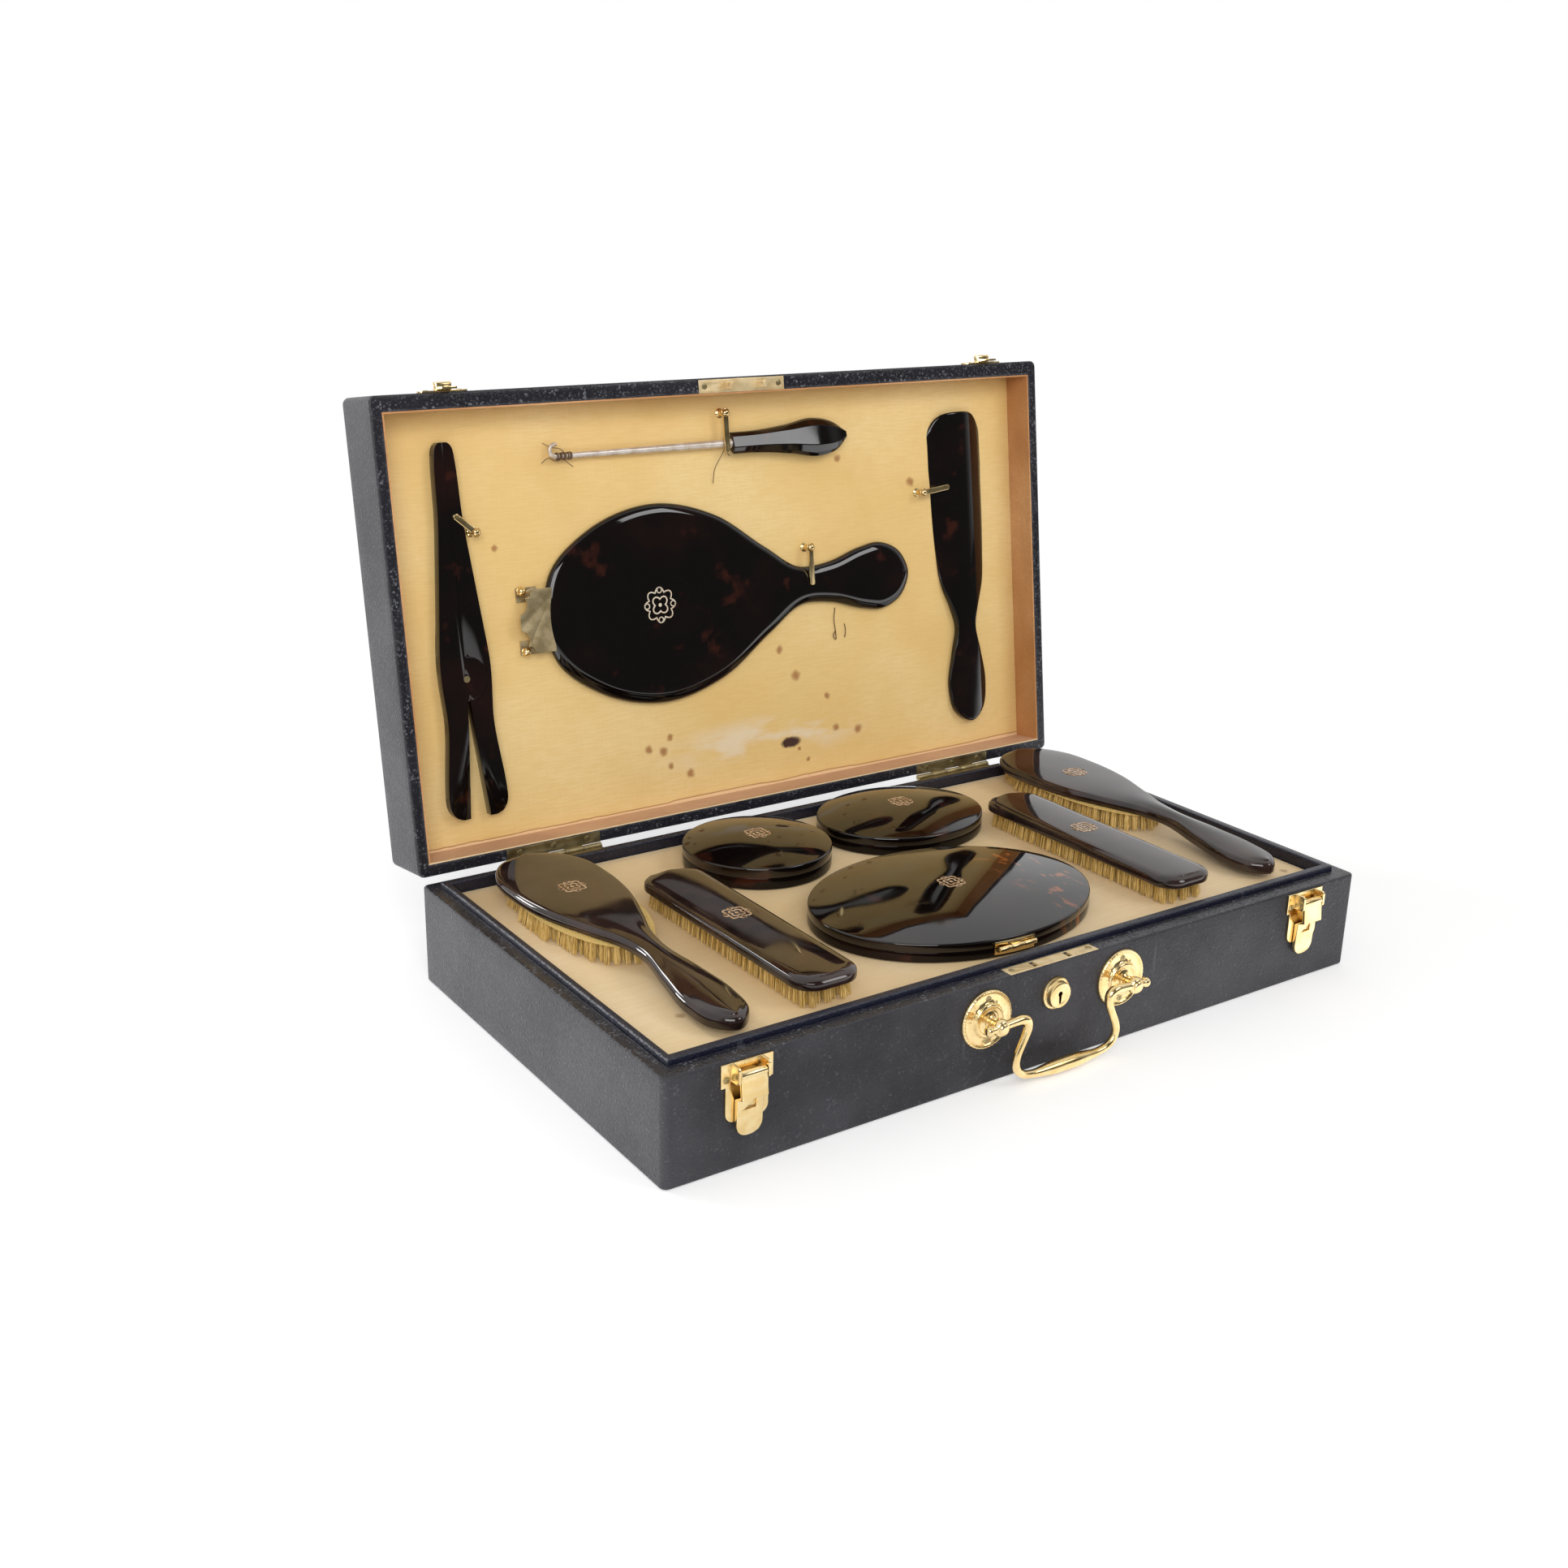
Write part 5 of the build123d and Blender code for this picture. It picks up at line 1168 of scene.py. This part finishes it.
buttonHook()

# Threads left on the button hook and the mirror

threadShape = {"radius": 0.3, "turns": 12, "from": -112.0, "pitch": 0.85}


def threads():
    s = threadShape
    low, high = boxIn("button_hook_handle", lidPlace)
    place = at(low.x, (low.y + high.y) / 2, low.z + buttonShape["shankHeight"], inside=lidPlace)
    coil = []
    for k in range(s["turns"] * 12):
        a = 2 * math.pi * k / 12
        wobble = 0.35 * math.sin(a * 0.37)
        radius = 1.95 + 0.25 * math.sin(a * 0.21)
        coil.append((s["from"] - s["pitch"] * k / 12 + wobble, radius * math.cos(a), radius * math.sin(a)))
    tails = [
        [(-116, 1.7, 0.4), (-119, 4.2, 0.8), (-124, 5.4, -0.6), (-130, 8.2, 0.2)],
        [(-117, -1.6, 0.5), (-115, -4.0, 1.2), (-111, -6.6, 0.2)],
        [(-118, -1.5, 0.6), (-123, -2.6, 1.5), (-127, -0.6, 0.4), (-131, -3.4, -1.0)],
        [(-4, -2.4, 0.4), (-7, -8, -1.2), (-11, -15, -2.4), (-12.5, -24, -3.3)],
        [(-2.6, -3.0, 0.2), (-1.5, -6.0, -1.4), (0.6, -8.0, -2.6)],
    ]
    shapes = [tube(coil, s["radius"], 6)]
    shapes += [tube(smoothLine(tail, 1.2), s["radius"] * 0.8, 6) for tail in tails]
    makePiece("hookThread", "lid", "thread", shapes, place)
    # short ends hanging below the mirror's handle, at places on the board
    board = boxIn("lid_board", lidPlace)[1].z + s["radius"]
    ends = [[(76.2, 118.5, board), (74.6, 110.0, board + 0.5), (75.6, 103.0, board + 0.2), (76.0, 97.6, board)],
            [(75.6, 103.5, board + 0.4), (73.4, 100.5, board + 0.6), (75.4, 97.2, board)],
            [(83.2, 107.1, board), (83.6, 102.0, board + 0.5), (82.9, 97.8, board)]]
    makePiece("mirrorThread", "lid", "thread", [tube(smoothLine(end, 1.2), s["radius"], 6) for end in ends], lidPlace)


threads()

# Glove stretchers

stretcherShape = {"round": 1.5, "mating": 0.3}


def stretcherHalf(node, name):
    # wide rounding along the outer top edges, hardly any where the halves meet
    s = stretcherShape
    back = lidPlace.inverted()
    facing = back.to_3x3()
    pivot = back @ Vector(joints["stretcher_pivot"]["pos_m"])

    def outer(edge):
        if min((facing @ face.normal).z for face in edge.link_faces) > 0.5:
            return False
        top = max(edge.link_faces, key=lambda face: (facing @ face.normal).z)
        side = min(edge.link_faces, key=lambda face: (facing @ face.normal).z)
        middle = back @ ((edge.verts[0].co + edge.verts[1].co) / 2)
        away = (facing @ side.normal).x * (middle.x - pivot.x)
        return (facing @ top.normal).z > 0.9 and away > 0 and abs(middle.x - pivot.x) > 2.5 * mm

    mesh = frame["nodes"][node].data.copy()
    work = bmesh.new()
    work.from_mesh(mesh)
    bmesh.ops.remove_doubles(work, verts=work.verts, dist=1e-6)
    bmesh.ops.dissolve_limit(work, angle_limit=math.radians(1), verts=work.verts, edges=work.edges)
    for width, steps, wanted in ((s["round"], 5, True), (s["mating"], 2, False)):
        edges = [e for e in work.edges if len(e.link_faces) == 2 and e.calc_face_angle(0) > math.radians(32)]
        edges = [e for e in edges if outer(e) == wanted]
        bmesh.ops.bevel(work, geom=edges, offset=width * mm, offset_type="OFFSET", segments=steps, profile=0.5,
                        affect="EDGES", clamp_overlap=True)
    work.to_mesh(mesh)
    work.free()
    dress(mesh, name, bodyOfNode[node], slotOfNode[node], (node,))


stretcherHalf("stretcher_fixed_half", "stretcherFixedHalf")
stretcherHalf("stretcher_moving_half", "stretcherMovingHalf")
print("dressing box: lid tools made")

# Turn hooks, mirror bracket and its screws

postShape = {"flange": 3.0, "post": 1.5, "knob": 2.35}


def hookPosts():
    s = postShape
    shapes = []
    for low, high in islandBoxes("turn_hook_posts", lidPlace):
        tall = high.z - low.z
        profile = [(0, 0), (s["flange"], 0), (s["flange"], 0.5), (s["flange"] - 0.5, 0.95), (s["post"] + 0.4, 1.1),
                   (s["post"], 1.6), (s["post"], tall - 5.6), (s["knob"], tall - 5.0), (s["knob"], tall - 4.4),
                   (s["post"], tall - 4.1), (s["post"], tall - 2.2), (s["knob"] - 0.3, tall - 2.1),
                   (s["knob"], tall - 1.6), (s["knob"] - 0.1, tall - 1.0), (s["knob"] - 0.8, tall - 0.3), (0.7, tall), (0, tall)]
        shapes.append(moved(lathe(profile, 28), (low.x + high.x) / 2, (low.y + high.y) / 2, low.z))
    makePiece("turnHookPosts", "lid", "brass", shapes, lidPlace, ("turn_hook_posts",), 40.0)


def bracketBalls():
    shapes = []
    for low, high in islandBoxes("bracket_screws", lidPlace):
        tall = high.z - low.z
        r = (high.x - low.x) / 2
        profile = [(0, 0), (r * 0.42, 0), (r * 0.42, 0.9), (r * 0.8, 1.0), (r * 0.95, 1.5), (r * 0.7, 1.9)]
        steps = [math.radians(a) for a in range(-60, 91, 15)]
        ball = [(r * 0.98 * math.cos(a), tall - r + r * 0.98 * math.sin(a)) for a in steps]
        profile += [p for p in ball if p[1] > 2.0]
        profile[-1] = (0, tall)
        shapes.append(moved(lathe(profile, 28), (low.x + high.x) / 2, (low.y + high.y) / 2, low.z))
    makePiece("bracketScrews", "lid", "brass", shapes, lidPlace, ("bracket_screws",), 40.0)


hookPosts()
bracketBalls()
for hookName in ("stretcher", "mirror", "button", "shoehorn"):
    softenedCopy(hookName + "_turn_hook", hookName + "TurnHook", 0.4, 3)
softenedCopy("mirror_bracket", "mirrorBracket", 0.3, 2, finish="bracketBrass")

# Screws: low domed heads with a slot

screwShape = {"radius": 1.95, "dome": 0.42, "slot": 0.45, "depth": 0.3, "sink": 0.5}


def screwHead():
    s = screwShape
    dome = [(s["radius"], 0.0), (s["radius"] * 0.93, s["dome"] * 0.45), (s["radius"] * 0.6, s["dome"] * 0.85), (0, s["dome"])]
    head = meshOf([lathe([(0, -s["sink"]), (s["radius"], -s["sink"]), *dome], 24)])
    half, width = s["radius"] + 0.4, s["slot"] / 2
    low = s["dome"] - s["depth"]
    corners = [(x, y, z) for z in (low, 2.0) for x, y in ((-half, -width), (half, -width), (half, width), (-half, width))]
    sides = [(0, 1, 2, 3), (4, 5, 6, 7), (0, 1, 5, 4), (1, 2, 6, 5), (2, 3, 7, 6), (3, 0, 4, 7)]
    made = combined(head, meshOf([(corners, sides)]), "DIFFERENCE")
    return [v.co / mm for v in made.vertices], [tuple(p.vertices) for p in made.polygons]


def screws(name, body, node, place, facing):
    # facing: the way the heads look where they aren't let into the rim
    head = screwHead()
    shapes = []
    for low, high in islandBoxes(node, place):
        spin = Matrix.Rotation(dice.uniform(0, math.pi), 3, "Z")
        middle = (low + high) / 2
        if high.z - low.z > high.y - low.y:
            shapes.append(moved(moved(head, turn=spin), middle.x, middle.y, high.z - 0.06))
        else:
            tip = high.y if facing > 0 else low.y
            turn = Matrix.Rotation(math.radians(-90 * facing), 3, "X") @ spin
            shapes.append(moved(moved(head, turn=turn), middle.x, tip, middle.z))
    slotName = slotOfNode[node]
    makePiece(name, body, slotName, shapes, place, (node,), 30.0)


screws("caseScrews", "case", "base_screws", basePlace, -1)
screws("lidScrews", "lid", "lid_screws", lidPlace, 1)

# Handle: rosettes, posts and the swinging bail

handleShape = {"ropes": 44, "rope": 0.16, "petals": 20, "petal": 0.14}


def handle():
    s = handleShape
    rosettes = islandBoxes("handle_rosettes")
    posts = islandBoxes("handle_posts")

    def ripple(radius, angle):
        if radius > 15.0:
            return s["rope"] * math.cos(s["ropes"] * angle)
        if 10.2 < radius < 14.2:
            return s["petal"] * abs(math.cos(s["petals"] / 2 * angle))
        return 0.0

    plate = [(0, 0), (16.5, 0), (16.5, 0.8), (16.35, 1.5), (15.8, 2.0), (15.2, 1.95), (14.6, 1.45), (14.2, 1.15),
             (13.0, 1.2), (11.6, 1.35), (10.4, 1.6), (9.7, 2.1), (9.4, 2.9), (8.9, 3.5), (8.2, 3.75), (7.5, 3.6),
             (7.0, 3.2), (6.2, 3.1), (5.2, 3.3), (4.6, 3.8), (0, 3.8)]
    facing = Matrix.Rotation(math.radians(90), 3, "X")
    shapes = []
    for low, high in rosettes:
        disc = moved(lathe(plate, 132, ripple), turn=facing)
        shapes.append(moved(disc, (low.x + high.x) / 2, high.y, (low.z + high.z) / 2))
    makePiece("handleRosettes", "case", "brass", shapes, stands=("handle_rosettes",), crease=40.0)
    shapes = []
    for low, high in posts:
        reach = high.y - low.y
        stem = [(0, 0), (3.6, 0), (3.5, 0.6), (2.7, 1.2), (2.6, 2.6), (3.3, 3.2), (3.4, 3.8), (2.9, 4.2)]
        ear = [(3.6, 4.8), (4.5, 6.2), (4.8, 7.8), (4.6, 9.3), (3.9, 10.4), (3.1, 10.7), (3.2, 11.1), (2.9, 11.6),
               (1.9, 12.0), (0, reach)]
        post = moved(lathe(stem + ear, 40), turn=facing)
        shapes.append(moved(post, (low.x + high.x) / 2, high.y, (low.z + high.z) / 2))
    makePiece("handlePosts", "case", "brass", shapes, stands=("handle_posts",), crease=40.0)
    pivot = Vector(joints["bail_pivot"]["pos_m"]) / mm
    low, high = boxIn("handle_bail")
    end = high.x - 2.4
    half = [(-end, 0), (-46, 0.2), (-38, 0.9), (-33.4, 1.0), (-29.6, -0.8), (-28.8, -4.4), (-30.4, -9.4),
            (-32.8, -14.4), (-34.9, -19.2), (-35.6, -23.6), (-34.2, -28.0), (-30.0, -31.5), (-24.0, -33.0),
            (-13.0, -33.4), (0, -33.3)]
    route = half + [(-x, z) for x, z in reversed(half[:-1])]
    line = smoothLine([(x, 0.0, z) for x, z in route], 1.6)
    radii = []
    for p in line:
        swell = 1.75 * (1 - easeIn(abs(p.x), 5, 25)) if p.z < -28 else 0.0
        elbow = 0.6 * math.exp(-((abs(p.x) - 31) ** 2 + (p.z - 0.5) ** 2) / 50)
        radii.append(2.2 + swell + elbow)
    shapes = [tube(line, radii, 20)]
    knob = [(0, -0.6), (1.9, -0.6), (2.5, 0.2), (2.9, 1.3), (2.7, 2.6), (1.8, 3.6), (0, 4.0)]
    for side in (-1, 1):
        turned = moved(lathe(knob, 24), turn=Matrix.Rotation(math.radians(90 * side), 3, "Y"))
        shapes.append(moved(turned, side * (end - 1.4)))
    makePiece("handleBail", "bail", "brass", shapes, at(0, pivot.y, pivot.z), ("handle_bail",), 40.0)


handle()

# Lock: escutcheon with a keyhole, plate and case, lid plate with its staples

lockShape = {"hole": 1.5, "slit": 1.3, "slitLength": 4.6}


def escutcheon():
    s = lockShape
    low, high = boxIn("lock_escutcheon")
    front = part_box("base_leather")[0].y / mm
    boss = [(0, -2.0), (4.6, -2.0), (4.6, 0), (9.2, 0), (9.2, 0.8), (8.9, 1.5), (8.3, 1.8), (7.7, 1.8), (7.4, 2.2),
            (7.4, 4.0), (7.1, 4.7), (6.5, 5.0), (5.8, 5.0), (5.0, 4.75), (4.2, 4.55), (0, 4.5)]
    place = at(0, front, (low.z + high.z) / 2, turnX=90)
    mesh = meshOf([lathe(boss, 64)], place)
    turns = [math.radians(a) for a in range(-50, 231, 20)]
    hole = [Vector((s["hole"] * math.cos(a), 0.75 + s["hole"] * math.sin(a))) for a in turns]
    hole += [Vector((-s["slit"] / 2, -s["slitLength"])), Vector((s["slit"] / 2, -s["slitLength"]))]
    count = len(hole)
    prism = [(p.x, p.y, z) for z in (-4.0, 9.0) for p in hole]
    sides = [(k, (k + 1) % count, count + (k + 1) % count, count + k) for k in range(count)]
    tool = meshOf([(prism, [tuple(range(count)), tuple(range(count, 2 * count)), *sides])], place)
    dress(combined(mesh, tool, "DIFFERENCE"), "lockEscutcheon", "case", "brass", ("lock_escutcheon",), 40.0)


escutcheon()
softenedCopy("lock_case", "lockCase", 0.25, 2, finish="satinBrass")
softenedCopy("lid_lock_plate", "lidLockPlate", 0.25, 2, finish="satinBrass")

# Latches, catches and hinge leaves
for latchSide in ("left", "right"):
    softenedCopy(latchSide + "_latch_plate", latchSide + "LatchPlate", 0.35, 3)
    softenedCopy(latchSide + "_latch_lever", latchSide + "LatchLever", 0.4, 3)
softenedCopy("lid_catches", "lidCatches", 0.3, 2)
softenedCopy("base_hinge_leaves", "baseHingeLeaves", 0.15, 2)
softenedCopy("lid_hinge_leaves", "lidHingeLeaves", 0.15, 2)
print("dressing box: fittings made")

# Floor, light and white surroundings

studio = {"floor": rgb(0.9, 0.9, 0.9), "floorGlow": 0.27, "fill": 0.52, "floorDrop": 0.25, "whiteFrom": 0.40,
          "whiteBy": 0.85, "leftSheen": 4.2, "frontSheen": 1.0, "darkSide": (0.05, -0.95, 0.2), "darkFrom": 0.3, "darkTo": 0.65, "darkShare": 0.92,
          "darkFloor": (-0.45, -0.8)}
lamps = {
    "key": {"from": (-1.3, -1.9, 1.35), "size": 1.4, "power": 32.0},
    "left": {"from": (-1.35, 1.35, 0.4), "size": 0.42, "power": 9.0},
    "front": {"from": (1.15, -1.65, 1.6), "size": 0.8, "power": 10.0},
    "back": {"from": (-0.75, 1.6, 1.25), "size": 0.45, "power": 9.0},
}


def seenDirectly(tree):
    path = add(tree, "LightPath")
    seen = maths(tree, "MAXIMUM", path.outputs["Is Camera Ray"], path.outputs["Is Glossy Ray"])
    return maths(tree, "MAXIMUM", seen, path.outputs["Is Transmission Ray"])


def layFloor():
    mesh = bpy.data.meshes.new("floor")
    span = 12.0
    z = -studio["floorDrop"] * mm
    mesh.from_pydata([(-span, -span, z), (span, -span, z), (span, span, z), (-span, span, z)], [], [(0, 1, 2, 3)])
    floor = bpy.data.objects.new("floor", mesh)
    scene.collection.objects.link(floor)
    material = bpy.data.materials.new("paleFloor")
    material.use_nodes = True
    tree = material.node_tree
    tree.nodes.clear()
    diffuse = add(tree, "BsdfDiffuse", {"Color": studio["floor"]})
    glow = add(tree, "Emission", {"Strength": maths(tree, "MULTIPLY", seenDirectly(tree), studio["floorGlow"])})
    both = add(tree, "AddShader", {0: diffuse.outputs[0], 1: glow.outputs[0]})
    place = add(tree, "NewGeometry").outputs["Position"]
    away = add(tree, "VectorMath", {0: place}, operation="LENGTH").outputs["Value"]
    far = maths(tree, "MULTIPLY", between(tree, away, studio["whiteFrom"], studio["whiteBy"]), seenDirectly(tree))
    white = add(tree, "Emission", {"Strength": 1.0})
    mixed = add(tree, "MixShader", {0: far, 1: both.outputs[0], 2: white.outputs[0]})
    # towards the dim side of the room, polished pieces show a dim floor
    front = between(tree, add(tree, "SeparateXYZ", {0: place}).outputs["Y"], *studio["darkFloor"])
    front = maths(tree, "MAXIMUM", front, between(tree, add(tree, "SeparateXYZ", {0: place}).outputs["X"], -0.55, -0.95))
    front = maths(tree, "MULTIPLY", front, add(tree, "LightPath").outputs["Is Glossy Ray"])
    front = maths(tree, "MULTIPLY", front, studio["darkShare"])
    unlit = add(tree, "Emission", {"Strength": 0.0})
    mixed = add(tree, "MixShader", {0: front, 1: mixed.outputs[0], 2: unlit.outputs[0]})
    # close to the case, the floor gives the leather a soft sheen
    spot = add(tree, "SeparateXYZ", {0: place})
    x, y = spot.outputs["X"], spot.outputs["Y"]
    left = maths(tree, "MULTIPLY", between(tree, x, -0.22, -0.27), between(tree, x, -0.95, -0.5))
    left = maths(tree, "MULTIPLY", left, between(tree, y, -0.4, 0.3, 0.0, studio["leftSheen"]))
    near = maths(tree, "MULTIPLY", between(tree, y, -0.12, -0.16), between(tree, y, -0.5, -0.3))
    near = maths(tree, "MULTIPLY", near, between(tree, x, -0.15, 0.3, 0.0, studio["frontSheen"]))
    sheen = maths(tree, "MULTIPLY", maths(tree, "ADD", left, near), add(tree, "LightPath").outputs["Is Glossy Ray"])
    sheen = add(tree, "Emission", {"Strength": sheen})
    mixed = add(tree, "AddShader", {0: mixed.outputs[0], 1: sheen.outputs[0]})
    add(tree, "OutputMaterial", {0: mixed.outputs[0]})
    mesh.materials.append(material)


def lightScene():
    world = bpy.data.worlds.new("studio")
    scene.world = world
    world.use_nodes = True
    tree = world.node_tree
    tree.nodes.clear()
    fill = add(tree, "Background", {"Color": rgb(1, 1, 1), "Strength": studio["fill"]})
    # the room behind the camera is dim, which polished pieces show
    way = add(tree, "TexCoord").outputs["Generated"]
    lean = add(tree, "VectorMath", {0: way, 1: studio["darkSide"]}, operation="DOT_PRODUCT").outputs["Value"]
    dim = maths(tree, "MULTIPLY", between(tree, lean, studio["darkFrom"], studio["darkTo"]), add(tree, "LightPath").outputs["Is Glossy Ray"])
    strength = maths(tree, "SUBTRACT", 1.0, maths(tree, "MULTIPLY", dim, studio["darkShare"]))
    white = add(tree, "Background", {"Color": rgb(1, 1, 1), "Strength": strength})
    mixed = add(tree, "MixShader", {0: seenDirectly(tree), 1: fill.outputs[0], 2: white.outputs[0]})
    add(tree, "OutputWorld", {0: mixed.outputs[0]})
    target = Vector((0, 0, 0.12))
    for name, lamp in lamps.items():
        data = bpy.data.lights.new(name, "AREA")
        data.size = lamp["size"]
        data.energy = lamp["power"]
        light = bpy.data.objects.new(name, data)
        scene.collection.objects.link(light)
        light.visible_camera = False
        light.location = lamp["from"]
        light.rotation_euler = (target - Vector(lamp["from"])).to_track_quat("-Z", "Y").to_euler()


layFloor()
lightScene()
print("dressing box: studio lit")
